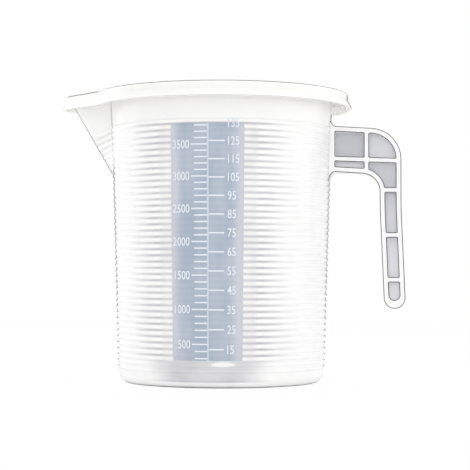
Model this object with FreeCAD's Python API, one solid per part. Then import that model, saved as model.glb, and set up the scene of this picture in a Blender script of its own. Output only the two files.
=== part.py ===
"""Graduated measuring pitcher with a lift-off lid.

The pitcher is a tapered round jug with horizontal grip ribs, a smooth scale window, a beak
spout and an open hook handle. A lid with a beak of its own covers the mouth and the spout.

Units are millimetres. The origin is on the jug's axis in the plane that it stands on: +Z is up,
+X points to the handle, -X to the spout and -Y to the scale window. Each region of the two
mouldings is written to its own STEP file, and neighbouring regions meet face to face.
"""
import FreeCAD, Part
import math
import os

Vector = FreeCAD.Vector
ORIGIN = Vector(0, 0, 0)
UP = Vector(0, 0, 1)
FULL_TURN = 360.0           # degrees

# Vessel
BASE_RADIUS = 79.4          # outside of the wall between ribs, in the standing plane
WALL_SLOPE = 0.030          # draft: radius gained for each millimetre of height
WALL = 1.5                  # wall thickness
RIM_Z = 220.9               # top of the jug's rim
BASE_CORNER_RADIUS = 8.0    # outside corner between wall and foot
FLOOR_CORNER_RADIUS = 5.0   # inside corner between wall and floor
FOOT_BAND = 9.4             # standing ring and base corner, across
FOOT_RECESS = 1.4           # height of the floor's edge above the standing plane
FLOOR_EDGE_Z = 3.6          # inside of the floor beside the wall
FLOOR_RISE = 7.0            # how far the floor domes up from its edge to its centre
GATE_BOSS_RADIUS = 8.5      # round moulding boss in the middle of the floor
GATE_BOSS_HEIGHT = 1.2

# Grip ribs
RIB_PROUD = 0.6
RIB_WIDTH = 2.1
RIB_PITCH = 4.57
TOP_RIB_DROP = 25.6         # rim to the middle of the top rib
LOWEST_RIB_Z = 10.6         # no rib's middle is lower

# Scale window and graduations
WINDOW_HALF_ANGLE = 18.4    # degrees each side of -Y
WINDOW_BOTTOM_Z = 20.5
WINDOW_TOP_DROP = 28.0      # rim to the window's top
MARK_PROUD = 0.35           # raised height of every mark above the window
MARK_WIDTH = 1.1
DIVIDER_ANGLE = 0.6         # the upright line between the scales, degrees from -Y towards +X
DIVIDER_WIDTH = 1.2
ML_MAJOR_ANGLE = 8.4        # degrees from the divider to a mark's far end
ML_MINOR_ANGLE = 6.9
OZ_ANGLE = 8.2
ML_FIRST, ML_LAST, ML_STEP, ML_MAJOR = 300, 3800, 100, 500
OZ_FIRST, OZ_LAST, OZ_STEP = 15, 135, 10
FLUID_OUNCE_ML = 28.413
MM3_IN_ML = 1000

# Spout
SPOUT_HEIGHT = 62.3         # keel's foot on the wall to the rim
SPOUT_SLOPE = 0.585         # keel run outwards for each millimetre of height
SPOUT_ROOT_DEPTH = 4.3      # the spout's sides start on a chord this far inside the wall
SPOUT_ROOT_HALF_WIDTH = 20.0
SPOUT_KEEL_RADIUS = 5.0

# Rim flange
FLANGE_THICKNESS = 1.8
FLANGE_REACH = 10.5         # wall at the rim to the flange's edge
FLANGE_TIP_REACH = 1.9      # spout's keel at the rim to the flange's edge
FLANGE_EDGE_WIDTH = 1.6     # turned-down edge that the lid snaps over
FLANGE_EDGE_DEPTH = 4.0

# Lid
LID_BEAK_HALF_ANGLE = 44.0
LID_BEAK_TIP_RADIUS = 20.0
LID_THROAT_RADIUS = 13.0    # hollow curve where the beak meets the round part
LID_WALL = 1.6
LID_TOP_GAP = 0.2           # lid to rim, upwards
LID_SIDE_GAP = 0.3          # lid to flange edge and to the mouth, sideways
LID_EDGE_RADIUS = 1.5
LID_SKIRT_DEPTH = 11.2      # lid top to the lower edge of the lip
LID_STEP_DEPTH = 5.2        # lid top to the start of the step
LID_STEP_WIDTH = 1.7
LID_STEP_HEIGHT = 2.4
LIP_WIDTH = 2.6             # the lip stands this far outside the skirt
LIP_HEIGHT = 1.2
PANEL_RECESS = 2.6          # the middle panel lies this far below the lid's top
PLUG_DEPTH = 19.5           # lid top to the lower edge of the plug ring
BEAD_HEIGHT = 1.6
BEAD_DROP = 0.4             # lower edge of the flange to the snap bead
BEAD_GAP = 0.25             # snap bead to flange edge, sideways

# Handle, in the plane Y = 0
HANDLE_DEPTH = 20.0         # along Y
HANDLE_RAIL = 4.2           # thickness of the rail round the outline
HANDLE_WEB = 2.0
HANDLE_BAR = 4.0            # thickness of each cross bar
HANDLE_ROOT_DEPTH = 1.0     # the outline is closed this far inside the wall
HANDLE_FLARE_RUN = 2.7      # the flare that blends the arm into the wall, outwards
HANDLE_FLARE_TOP = 3.8      # and upwards, from the arm's top
HANDLE_FLARE_BOTTOM = 7.6   # and downwards, from the arm's underside
HANDLE_FLARE_RADIUS = 4.0
POCKET_START = 3.7          # wall to the first pocket
ARM_DROP = 23.5             # rim to the arm's top at the flare
ARM_DEPTH = 35.3            # top to underside
ARM_SLOPE = 0.064           # fall of the arm for each millimetre outwards
GRIP_REACH = 54.1           # wall to the back of the grip, above its bend
GRIP_WIDTH = 16.4
GRIP_BEND_DROP = 61.4       # arm top to the bend
GRIP_SLOPE = 0.0435         # outward run for each millimetre below the bend
GRIP_BEND_RADIUS = 300.0
GRIP_LENGTH = 140.0         # arm top to the grip's lower end
SHOULDER_RADIUS = 24.0      # outer corner between arm and grip
FINGER_RADIUS = 14.0        # inner corner between arm and grip
GRIP_END_WALL = 6.6         # lowest pocket to the grip's lower end
ARM_BAR_RUN = 27.6          # wall to the upright bar across the arm
ARM_BAR_DROP = 25.1         # arm top to the middle of the bar along the arm, at the flare
ARM_BAR_SLOPE = 0.04        # fall of that bar for each millimetre outwards
GRIP_BAR_DROPS = (49.4, 83.8, 117.9)   # arm top to the middle of each bar across the grip


def wall_radius(z, inset=0.0):
    """Radius of the plain wall at a height, moved in by inset."""
    return BASE_RADIUS + WALL_SLOPE * z - inset


# Places that follow from the sizes above
FOOT_INNER_RADIUS = BASE_RADIUS - FOOT_BAND
TOP_RIB_Z = RIM_Z - TOP_RIB_DROP
WINDOW_TOP_Z = RIM_Z - WINDOW_TOP_DROP
SPOUT_FOOT_Z = RIM_Z - SPOUT_HEIGHT
SPOUT_ROOT_X = wall_radius(SPOUT_FOOT_Z) - SPOUT_ROOT_DEPTH
FLANGE_UNDER_Z = RIM_Z - FLANGE_THICKNESS
FLANGE_EDGE_Z = FLANGE_UNDER_Z - FLANGE_EDGE_DEPTH
FLANGE_INSET = LID_WALL + LID_SIDE_GAP
LID_RADIUS = wall_radius(RIM_Z) + FLANGE_REACH + FLANGE_INSET
LID_BEAK_REACH = (wall_radius(SPOUT_FOOT_Z) + SPOUT_SLOPE * SPOUT_HEIGHT
                  + FLANGE_TIP_REACH + FLANGE_INSET)
LID_UNDER_Z = RIM_Z + LID_TOP_GAP
LID_TOP_Z = LID_UNDER_Z + LID_WALL
LIP_BOTTOM_Z = LID_TOP_Z - LID_SKIRT_DEPTH
STEP_TOP_Z = LID_TOP_Z - LID_STEP_DEPTH
STEP_FOOT_Z = STEP_TOP_Z - LID_STEP_HEIGHT
ARM_TOP_Z = RIM_Z - ARM_DROP
ARM_ROOT_TOP_Z = ARM_TOP_Z + HANDLE_FLARE_TOP
ARM_ROOT_BOTTOM_Z = ARM_TOP_Z - ARM_DEPTH - HANDLE_FLARE_BOTTOM
HANDLE_FLARE_X = wall_radius(ARM_TOP_Z) + HANDLE_FLARE_RUN
GRIP_OUTER_X = wall_radius(ARM_TOP_Z) + GRIP_REACH
GRIP_INNER_X = GRIP_OUTER_X - GRIP_WIDTH
GRIP_BEND_Z = ARM_TOP_Z - GRIP_BEND_DROP
GRIP_END_Z = ARM_TOP_Z - GRIP_LENGTH
POCKET_RAIL_END_Z = GRIP_END_Z + GRIP_END_WALL - HANDLE_RAIL
ARM_BAR_X = wall_radius(ARM_TOP_Z) + ARM_BAR_RUN


# ---- small helpers -------------------------------------------------------------------------

def rounded_face(corners):
    """Face in the XZ plane through (x, z, corner radius) points, with tangent arcs."""
    edges, count, ends = [], len(corners), []
    for i, (x, z, radius) in enumerate(corners):
        here = Vector(x, 0, z)
        before = Vector(corners[i - 1][0], 0, corners[i - 1][1])
        after = Vector(corners[(i + 1) % count][0], 0, corners[(i + 1) % count][1])
        if not radius:
            ends.append((here, here))
            continue
        to_before = (before - here).normalize()
        to_after = (after - here).normalize()
        half = to_before.getAngle(to_after) / 2
        reach = radius / math.tan(half)
        middle = (to_before + to_after).normalize() * (radius / math.sin(half) - radius)
        start, end = here + to_before * reach, here + to_after * reach
        edges.append(Part.Arc(start, here + middle, end).toShape())
        ends.append((start, end))
    for i in range(count):
        start, end = ends[i][1], ends[(i + 1) % count][0]
        if (end - start).Length > 1e-6:
            edges.append(Part.makeLine(start, end))
    return Part.Face(Part.Wire(Part.__sortEdges__(edges)))


def turned(face, start=0.0, sweep=FULL_TURN):
    """Solid that a face in the XZ plane sweeps about the jug's axis."""
    solid = face.revolve(ORIGIN, UP, sweep)
    if start:
        solid.rotate(ORIGIN, UP, start)
    return solid


def slab(wire, low, high):
    """Straight solid over a flat outline, between two heights."""
    moved = wire.copy()
    moved.translate(Vector(0, 0, low))
    return Part.Face(moved).extrude(Vector(0, 0, high - low))


def taper(low_wire, low, high_wire, high):
    """Ruled solid between two outlines of the same kind at two heights."""
    bottom, top = low_wire.copy(), high_wire.copy()
    bottom.translate(Vector(0, 0, low))
    top.translate(Vector(0, 0, high))
    return Part.makeLoft([bottom, top], True, True)


def window_angle(angle):
    """Angle about Z from +X, for an angle from -Y towards +X."""
    return 270.0 + angle


def wall_patch(low, high, depth, proud, start, sweep):
    """Solid that follows the wall between two heights, from depth to proud of its surface."""
    face = rounded_face([
        (wall_radius(low) + depth, low, 0), (wall_radius(low) + proud, low, 0),
        (wall_radius(high) + proud, high, 0), (wall_radius(high) + depth, high, 0)])
    return turned(face, start, sweep)


# ---- vessel --------------------------------------------------------------------------------

def vessel_core(inset, top=RIM_Z):
    """Solid tapered plug of the vessel, from the standing plane up."""
    return Part.makeCone(wall_radius(0, inset), wall_radius(top, inset), top)


def spout_side(z, inset):
    """Root end and tip end of the spout's side towards +Y at a height, and the tip arc's centre."""
    keel = wall_radius(SPOUT_FOOT_Z) + SPOUT_SLOPE * (z - SPOUT_FOOT_Z)
    centre = Vector(SPOUT_KEEL_RADIUS - keel, 0, 0)
    root = Vector(-SPOUT_ROOT_X, SPOUT_ROOT_HALF_WIDTH, 0)
    to_root = root - centre
    lean = math.atan2(to_root.y, to_root.x) + math.acos(SPOUT_KEEL_RADIUS / to_root.Length)
    normal = Vector(math.cos(lean), math.sin(lean), 0)
    return root - normal * inset, centre + normal * (SPOUT_KEEL_RADIUS - inset), centre


def spout_outline(z, inset):
    """Outline of the spout at a height: a tip arc and two sides that start inside the wall."""
    root, end, centre = spout_side(z, inset)
    far_root, far_end = Vector(root.x, -root.y, 0), Vector(end.x, -end.y, 0)
    tip = centre - Vector(SPOUT_KEEL_RADIUS - inset, 0, 0)
    return Part.Wire([
        Part.makeLine(root, end), Part.Arc(end, tip, far_end).toShape(),
        Part.makeLine(far_end, far_root), Part.makeLine(far_root, root)])


def spout_wedge(inset, top):
    """Solid of the spout, from the keel's foot up to a height."""
    return taper(spout_outline(SPOUT_FOOT_Z, inset), SPOUT_FOOT_Z, spout_outline(top, inset), top)


def make_vessel_wall():
    profile = rounded_face([
        (FOOT_INNER_RADIUS, 0, 0),
        (wall_radius(0), 0, BASE_CORNER_RADIUS),
        (wall_radius(FLANGE_UNDER_Z), FLANGE_UNDER_Z, 0),
        (wall_radius(FLANGE_UNDER_Z, WALL), FLANGE_UNDER_Z, 0),
        (wall_radius(FLOOR_EDGE_Z, WALL), FLOOR_EDGE_Z, FLOOR_CORNER_RADIUS),
        (FOOT_INNER_RADIUS, FLOOR_EDGE_Z, 0)])
    return turned(profile).cut(spout_wedge(WALL, RIM_Z))


def dome_height(radius, centre_z, edge_z):
    """Height of a spherical dome over the floor's round edge."""
    rise = centre_z - edge_z
    sphere = (rise ** 2 + FOOT_INNER_RADIUS ** 2) / (2 * rise)
    return centre_z - sphere + math.sqrt(sphere ** 2 - radius ** 2)


def dome_edge(centre_z, edge_z):
    """Half arc of a dome, from its centre to its edge."""
    middle = FOOT_INNER_RADIUS / 2
    return Part.Arc(
        Vector(0, 0, centre_z), Vector(middle, 0, dome_height(middle, centre_z, edge_z)),
        Vector(FOOT_INNER_RADIUS, 0, edge_z)).toShape()


def make_vessel_floor():
    top_centre = FLOOR_EDGE_Z + FLOOR_RISE
    under_centre = FOOT_RECESS + FLOOR_RISE
    edges = [
        dome_edge(under_centre, FOOT_RECESS),
        Part.makeLine(Vector(FOOT_INNER_RADIUS, 0, FOOT_RECESS),
                      Vector(FOOT_INNER_RADIUS, 0, FLOOR_EDGE_Z)),
        dome_edge(top_centre, FLOOR_EDGE_Z),
        Part.makeLine(Vector(0, 0, top_centre), Vector(0, 0, under_centre))]
    dome = turned(Part.Face(Part.Wire(Part.__sortEdges__(edges))))
    boss_foot = (top_centre + under_centre) / 2
    boss = Part.makeCylinder(
        GATE_BOSS_RADIUS, top_centre + GATE_BOSS_HEIGHT - boss_foot, Vector(0, 0, boss_foot))
    return dome.fuse(boss).removeSplitter()


def make_pouring_spout():
    return spout_wedge(0, FLANGE_UNDER_Z).cut(spout_wedge(WALL, RIM_Z)).cut(vessel_core(0))


def make_rim_flange():
    outside = slab(lid_outline(-FLANGE_INSET), FLANGE_EDGE_Z, RIM_Z)
    hollow = slab(lid_outline(-FLANGE_INSET - FLANGE_EDGE_WIDTH), FLANGE_EDGE_Z, FLANGE_UNDER_Z)
    mouth = vessel_core(WALL).fuse(spout_wedge(WALL, RIM_Z))
    return outside.cut(hollow).cut(mouth)


# ---- grip ribs -----------------------------------------------------------------------------

def half_angle(half_width, radius):
    """Angle in degrees that a half width takes on a circle."""
    return math.degrees(math.asin(half_width / radius))


def spout_half_angle(z):
    """Angle in degrees from -X at which the spout's side leaves the wall at a height."""
    root, end, _ = spout_side(z, 0)
    side, radius = end - root, wall_radius(z)
    if z <= SPOUT_FOOT_Z or end.Length <= radius:
        return 0.0
    along, square = root.dot(side), side.dot(side)
    share = (math.sqrt(along ** 2 - square * (root.dot(root) - radius ** 2)) - along) / square
    return half_angle((root + side * share).y, radius)


def rib_heights():
    """Height of the middle of each rib, from the top down."""
    count = int((TOP_RIB_Z - LOWEST_RIB_Z) / RIB_PITCH + 0.5) + 1
    return [TOP_RIB_Z - i * RIB_PITCH for i in range(count)]


def rib_spans(z):
    """Start and sweep of each stretch of a rib, about Z from +X."""
    rib_top = z + RIB_WIDTH / 2
    gaps = []
    if ARM_ROOT_BOTTOM_Z < rib_top and z - RIB_WIDTH / 2 < ARM_ROOT_TOP_Z:
        gaps.append((0.0, half_angle(HANDLE_DEPTH / 2, wall_radius(z))))
    if spout_half_angle(rib_top):
        gaps.append((180.0, spout_half_angle(rib_top)))
    if rib_top > WINDOW_BOTTOM_Z and z - RIB_WIDTH / 2 < WINDOW_TOP_Z:
        gaps.append((window_angle(0), WINDOW_HALF_ANGLE))
    spans = []
    for i, (middle, half) in enumerate(gaps):
        after, after_half = gaps[(i + 1) % len(gaps)]
        start = middle + half
        end = after - after_half + (FULL_TURN if after <= middle else 0.0)
        spans.append((start, end - start))
    return spans or [(0.0, FULL_TURN)]


def make_wall_ribs():
    rings = []
    for z in rib_heights():
        for start, sweep in rib_spans(z):
            rings.append(wall_patch(z - RIB_WIDTH / 2, z + RIB_WIDTH / 2, 0, RIB_PROUD,
                                    start, sweep))
    return Part.makeCompound(rings)


# ---- scale ---------------------------------------------------------------------------------

def fill_volume(z):
    """Millilitres that the vessel holds up to a height."""
    low, high = wall_radius(FLOOR_EDGE_Z, WALL), wall_radius(z, WALL)
    plug = math.pi / 3 * (z - FLOOR_EDGE_Z) * (low ** 2 + low * high + high ** 2)
    dome = math.pi * FLOOR_RISE / 6 * (3 * FOOT_INNER_RADIUS ** 2 + FLOOR_RISE ** 2)
    corner = (1 - math.pi / 4) * FLOOR_CORNER_RADIUS ** 2 * 2 * math.pi * low
    return (plug - dome - corner) / MM3_IN_ML


def fill_height(millilitres):
    """Height of the level at a volume, found by halving the range."""
    low, high = FLOOR_EDGE_Z, RIM_Z
    for _ in range(50):
        middle = (low + high) / 2
        if fill_volume(middle) < millilitres:
            low = middle
        else:
            high = middle
    return (low + high) / 2


def make_scale_window():
    return wall_patch(WINDOW_BOTTOM_Z, WINDOW_TOP_Z, 0, RIB_PROUD,
                      window_angle(-WINDOW_HALF_ANGLE), 2 * WINDOW_HALF_ANGLE)


def divider_half_angle():
    return half_angle(DIVIDER_WIDTH / 2, wall_radius(WINDOW_TOP_Z))


def make_scale_divider():
    return wall_patch(WINDOW_BOTTOM_Z, WINDOW_TOP_Z, RIB_PROUD, RIB_PROUD + MARK_PROUD,
                      window_angle(DIVIDER_ANGLE - divider_half_angle()),
                      2 * divider_half_angle())


def make_mark(z, angle):
    """One raised mark that starts at the divider: to the left if its angle is negative."""
    inner = divider_half_angle()
    start = DIVIDER_ANGLE + inner if angle > 0 else DIVIDER_ANGLE + angle
    return wall_patch(z - MARK_WIDTH / 2, z + MARK_WIDTH / 2, RIB_PROUD,
                      RIB_PROUD + MARK_PROUD, window_angle(start), abs(angle) - inner)


def on_window(z):
    return WINDOW_BOTTOM_Z + MARK_WIDTH < z < WINDOW_TOP_Z - MARK_WIDTH


def make_ml_graduations():
    marks = []
    for volume in range(ML_FIRST, ML_LAST + 1, ML_STEP):
        z = fill_height(volume)
        angle = ML_MINOR_ANGLE if volume % ML_MAJOR else ML_MAJOR_ANGLE
        if on_window(z):
            marks.append(make_mark(z, -angle))
    return Part.makeCompound(marks)


def make_oz_graduations():
    heights = [fill_height(ounces * FLUID_OUNCE_ML)
               for ounces in range(OZ_FIRST, OZ_LAST + 1, OZ_STEP)]
    return Part.makeCompound([make_mark(z, OZ_ANGLE) for z in heights if on_window(z)])


# ---- handle --------------------------------------------------------------------------------

def arm_top(x, drop=0.0):
    """Height of the arm's sloping top at a distance out, less a drop."""
    return ARM_TOP_Z - ARM_SLOPE * (x - HANDLE_FLARE_X) - drop


def arm_bar(x):
    """Height of the middle of the bar along the arm at a distance out."""
    return ARM_TOP_Z - ARM_BAR_DROP - ARM_BAR_SLOPE * (x - HANDLE_FLARE_X)


def grip_line(outer_x, z):
    """X of a side of the grip at a height below its bend."""
    return outer_x + GRIP_SLOPE * (GRIP_BEND_Z - z)


def handle_face(end_z):
    """The handle's outline, with the grip's lower end at a height."""
    root_x = wall_radius(ARM_ROOT_BOTTOM_Z) - HANDLE_ROOT_DEPTH
    end_radius = GRIP_WIDTH / 2 - 0.01   # leaves the two end arcs a hair of straight edge
    return rounded_face([
        (root_x, ARM_ROOT_BOTTOM_Z, 0),
        (root_x, ARM_ROOT_TOP_Z, 0),
        (wall_radius(ARM_ROOT_TOP_Z), ARM_ROOT_TOP_Z, 0),
        (HANDLE_FLARE_X, ARM_TOP_Z, HANDLE_FLARE_RADIUS),
        (GRIP_OUTER_X, arm_top(GRIP_OUTER_X), SHOULDER_RADIUS),
        (GRIP_OUTER_X, GRIP_BEND_Z, GRIP_BEND_RADIUS),
        (grip_line(GRIP_OUTER_X, end_z), end_z, end_radius),
        (grip_line(GRIP_INNER_X, end_z), end_z, end_radius),
        (GRIP_INNER_X, GRIP_BEND_Z, GRIP_BEND_RADIUS),
        (GRIP_INNER_X, arm_top(GRIP_INNER_X, ARM_DEPTH), FINGER_RADIUS),
        (HANDLE_FLARE_X, ARM_TOP_Z - ARM_DEPTH, HANDLE_FLARE_RADIUS),
        (wall_radius(ARM_ROOT_BOTTOM_Z), ARM_ROOT_BOTTOM_Z, 0)])


def box_face(low_x, low_z, high_x, high_z):
    """Upright rectangle in the XZ plane."""
    return rounded_face([(low_x, low_z, 0), (high_x, low_z, 0),
                         (high_x, high_z, 0), (low_x, high_z, 0)])


def pocket_face():
    """What the rail leaves open inside the handle's outline, clear of the wall."""
    outline = handle_face(POCKET_RAIL_END_Z)
    inside = Part.Face(outline.OuterWire.makeOffset2D(-HANDLE_RAIL))
    start_x = wall_radius(ARM_TOP_Z) + POCKET_START
    return inside.common(box_face(start_x, 0, grip_line(GRIP_OUTER_X, 0), RIM_Z))


def across_y(face, depth):
    """Straight solid over a face in the XZ plane, centred on Y = 0."""
    moved = face.copy()
    moved.translate(Vector(0, -depth / 2, 0))
    return moved.extrude(Vector(0, depth, 0))


def handle_bars():
    """Bars that cross the inside of the handle, each longer than it needs to be."""
    half = HANDLE_BAR / 2
    start_x, far_x = wall_radius(ARM_TOP_Z), grip_line(GRIP_OUTER_X, GRIP_END_Z)
    along_arm = [(x, arm_bar(x) + side, 0)
                 for x, side in ((start_x, -half), (far_x, -half), (far_x, half), (start_x, half))]
    bars = [box_face(ARM_BAR_X - half, ARM_TOP_Z - ARM_DEPTH - HANDLE_RAIL,
                     ARM_BAR_X + half, ARM_TOP_Z), rounded_face(along_arm)]
    for drop in GRIP_BAR_DROPS:
        z = ARM_TOP_Z - drop
        bars.append(box_face(GRIP_INNER_X, z - half, far_x, z + half))
    return bars


def make_handle():
    """The rail round the outline, the bars across its inside and the web between them."""
    inside = pocket_face()
    rail = across_y(handle_face(GRIP_END_Z).cut(inside), HANDLE_DEPTH).cut(vessel_core(0))
    bars = handle_bars()
    crossing = bars[0].multiFuse(bars[1:]).common(inside)
    ribs = across_y(crossing, HANDLE_DEPTH).Solids
    web = across_y(inside.cut(crossing), HANDLE_WEB)
    return {"handle_rail": rail, "handle_web": web,
            "handle_cross_ribs": ribs[0].multiFuse(ribs[1:]).removeSplitter()}


# ---- lid -----------------------------------------------------------------------------------

def lid_outline(offset):
    """Plan of the lid's skirt moved out by offset: a round part with a beak towards -X."""
    round_radius = LID_RADIUS + offset
    tip_radius = LID_BEAK_TIP_RADIUS + offset
    throat = LID_THROAT_RADIUS - offset
    lean = math.radians(LID_BEAK_HALF_ANGLE)
    tip_centre = Vector(LID_BEAK_TIP_RADIUS - LID_BEAK_REACH, 0, 0)
    normal = Vector(-math.sin(lean), math.cos(lean), 0)
    along = Vector(math.cos(lean), math.sin(lean), 0)
    tip_end = tip_centre + normal * tip_radius
    start = tip_end + normal * throat
    middle = start.dot(along)
    reach = -middle - math.sqrt(middle ** 2 - start.dot(start) + (round_radius + throat) ** 2)
    throat_centre = start + along * reach
    side_end = throat_centre - normal * throat
    round_end = throat_centre * (round_radius / throat_centre.Length)
    bisector = ((side_end - throat_centre) + (round_end - throat_centre)).normalize()
    throat_middle = throat_centre + bisector * throat

    def below(point):
        return Vector(point.x, -point.y, 0)

    tip = tip_centre - Vector(tip_radius, 0, 0)
    return Part.Wire([
        Part.Arc(round_end, Vector(round_radius, 0, 0), below(round_end)).toShape(),
        Part.Arc(below(round_end), below(throat_middle), below(side_end)).toShape(),
        Part.makeLine(below(side_end), below(tip_end)),
        Part.Arc(below(tip_end), tip, tip_end).toShape(),
        Part.makeLine(tip_end, side_end),
        Part.Arc(side_end, throat_middle, round_end).toShape()])


def plug_radius():
    """Outside of the plug ring, clear of the mouth at the ring's lower edge."""
    return wall_radius(LID_TOP_Z - PLUG_DEPTH, WALL) - LID_SIDE_GAP


def rounded_slab(offset, low, high, radius):
    """Slab of the lid's outline with its upper edge rounded."""
    block = slab(lid_outline(offset), low, high)
    upper = [edge for edge in block.Edges if edge.BoundBox.ZMin > high - 1e-4]
    return block.makeFillet(radius, upper)


def lid_cavity():
    """Solid of the room inside the skirt."""
    under_step = LID_STEP_WIDTH - LID_WALL
    return slab(lid_outline(-LID_WALL), STEP_TOP_Z - LID_WALL, LID_UNDER_Z).multiFuse([
        taper(lid_outline(under_step), STEP_FOOT_Z - LID_WALL,
              lid_outline(-LID_WALL), STEP_TOP_Z - LID_WALL),
        slab(lid_outline(under_step), LIP_BOTTOM_Z, STEP_FOOT_Z - LID_WALL)])


def make_lid_cap():
    lip_top = LIP_BOTTOM_Z + LIP_HEIGHT
    outside = rounded_slab(0, STEP_TOP_Z, LID_TOP_Z, LID_EDGE_RADIUS).multiFuse([
        taper(lid_outline(LID_STEP_WIDTH), STEP_FOOT_Z, lid_outline(0), STEP_TOP_Z),
        taper(lid_outline(LIP_WIDTH), lip_top, lid_outline(LID_STEP_WIDTH), STEP_FOOT_Z),
        slab(lid_outline(LIP_WIDTH), LIP_BOTTOM_Z, lip_top)])
    hole = Part.makeCylinder(plug_radius() - LID_WALL, LID_TOP_Z)
    return outside.cut(lid_cavity()).cut(hole)


def make_lid_plug_ring():
    height = LID_UNDER_Z - (LID_TOP_Z - PLUG_DEPTH)
    foot = Vector(0, 0, LID_TOP_Z - PLUG_DEPTH)
    return Part.makeCylinder(plug_radius(), height, foot).cut(
        Part.makeCylinder(plug_radius() - LID_WALL, height, foot))


def make_lid_panel():
    foot = Vector(0, 0, LID_TOP_Z - PANEL_RECESS - LID_WALL)
    return Part.makeCylinder(plug_radius() - LID_WALL, LID_WALL, foot)


def make_lid_snap_bead():
    high = FLANGE_EDGE_Z - BEAD_DROP
    low = high - BEAD_HEIGHT
    ring = slab(lid_outline(LIP_WIDTH), low, high).cut(
        slab(lid_outline(BEAD_GAP - FLANGE_INSET), low, high))
    return ring.common(lid_cavity())


# ---- files ---------------------------------------------------------------------------------

def make_parts():
    parts = {
        "vessel_wall": make_vessel_wall(),
        "vessel_floor": make_vessel_floor(),
        "pouring_spout": make_pouring_spout(),
        "rim_flange": make_rim_flange(),
        "wall_ribs": make_wall_ribs(),
        "scale_window": make_scale_window(),
        "scale_divider": make_scale_divider(),
        "ml_graduations": make_ml_graduations(),
        "oz_graduations": make_oz_graduations(),
        "lid_cap": make_lid_cap(),
        "lid_panel": make_lid_panel(),
        "lid_plug_ring": make_lid_plug_ring(),
        "lid_snap_bead": make_lid_snap_bead(),
    }
    parts.update(make_handle())
    return parts


os.makedirs("parts", exist_ok=True)
for node, shape in make_parts().items():
    shape.exportStep(f"parts/{node}.step")
    print(node, len(shape.Solids), "solids", round(shape.Volume), "mm3", shape.isValid())
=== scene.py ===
"""Looks of a graduated measuring pitcher with a lift-off lid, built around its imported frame.

The file is laid out as an add-on and run as a script: the property groups hold the sizes and
colours, each operator builds one piece or one group of like pieces, and main() calls them in order.
Units are metres. The jug's axis is the Z axis, +X points to the handle, -X to the spout and -Y to
the scale window.
"""

import math

import bmesh
import bpy
from mathutils import Matrix, Vector


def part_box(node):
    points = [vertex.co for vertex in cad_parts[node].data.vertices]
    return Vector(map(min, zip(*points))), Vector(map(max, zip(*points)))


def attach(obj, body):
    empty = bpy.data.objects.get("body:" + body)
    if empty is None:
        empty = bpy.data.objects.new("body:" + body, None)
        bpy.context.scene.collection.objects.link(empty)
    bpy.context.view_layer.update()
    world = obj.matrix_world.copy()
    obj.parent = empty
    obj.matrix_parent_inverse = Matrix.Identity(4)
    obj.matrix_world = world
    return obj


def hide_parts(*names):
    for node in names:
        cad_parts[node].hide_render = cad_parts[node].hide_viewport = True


bl_info = {
    "name": "Measuring pitcher",
    "version": (1, 0, 0),
    "blender": (4, 5, 0),
    "location": "View3D > Sidebar > Pitcher",
    "description": "Builds a translucent graduated pitcher, its lid and a white studio",
    "category": "Object",
}

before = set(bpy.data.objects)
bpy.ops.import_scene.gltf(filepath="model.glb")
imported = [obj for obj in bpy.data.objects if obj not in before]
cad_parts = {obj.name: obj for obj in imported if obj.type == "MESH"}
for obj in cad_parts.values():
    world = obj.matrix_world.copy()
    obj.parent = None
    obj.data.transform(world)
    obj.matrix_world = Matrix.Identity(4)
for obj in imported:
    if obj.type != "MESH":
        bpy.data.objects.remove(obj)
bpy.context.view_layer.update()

MM = 0.001
LITRE = 0.001      # cubic metres
FULL_TURN = 2 * math.pi

# Places and sizes that the frame gives
WALL_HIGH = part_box("vessel_wall")[1]
FLOOR_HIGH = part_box("vessel_floor")[1]
RIM_LOW, RIM_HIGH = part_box("rim_flange")
WINDOW_LOW, WINDOW_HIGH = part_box("scale_window")
CAP_LOW, CAP_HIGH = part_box("lid_cap")
PANEL_LOW, PANEL_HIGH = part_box("lid_panel")
PLUG_LOW, PLUG_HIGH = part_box("lid_plug_ring")
RAIL_LOW, RAIL_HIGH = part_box("handle_rail")
WEB_LOW, WEB_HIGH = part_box("handle_web")

RIM_Z = RIM_HIGH.z
FLANGE_UNDER_Z = WALL_HIGH.z
HANDLE_DEPTH = RAIL_HIGH.y - RAIL_LOW.y
WEB_THICKNESS = WEB_HIGH.y - WEB_LOW.y

# Turns about the jug's axis, from +X
WINDOW_TURN = math.radians(270)
SPOUT_TURN = math.radians(180)
HANDLE_HALF_ANGLE = math.asin(HANDLE_DEPTH / 2 / WALL_HIGH.x)

# Milkiness of thick plastic, and the value at a moulding's edge, which paints a dark line of shade
# there. Thin or smooth plastic has 0.
THICK, EDGE_SHADE = 1.0, -1.0

# (share of the rib's width, share of its height, milkiness) across a rib. The grooves' 0 gives them
# the grey of clear plastic, partly painted shade
RIB_PROFILE = ((-0.86, 0.0, 0.0), (-0.60, 0.0, 0.8), (-0.46, 0.3, 0.92), (-0.30, 0.95, 1.0),
               (0.0, 1.0, 1.0), (0.30, 0.95, 1.0), (0.46, 0.3, 0.92), (0.60, 0.0, 0.8),
               (0.86, 0.0, 0.0))
# (degrees round the base corner from the foot, milkiness there under the window). The -1 near the
# foot is a painted shadow where the jug stands, and the dips further round paint lines of shade
BASE_CORNER = ((0, -1.0), (12, -1.0), (21, -1.0), (26, 0.4), (31, 0.9), (36, 0.4), (41, 0.9),
               (52, 1.0), (62, 0.9), (66, 0.4), (70, -0.1), (74, 0.2), (82, 0.2), (90, 0.2))
# The gate's boss shows through the wall as a pale disc: its turn, height and half sizes, and
# as a share of those where it ends and how softly
GATE_TURN, GATE_HALF = math.radians(278.2), math.radians(5.6)
GATE_Z, GATE_HIGH = 17.6 * MM, 1.4 * MM
GATE_END, GATE_FADE = 1.3, 0.5

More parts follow.
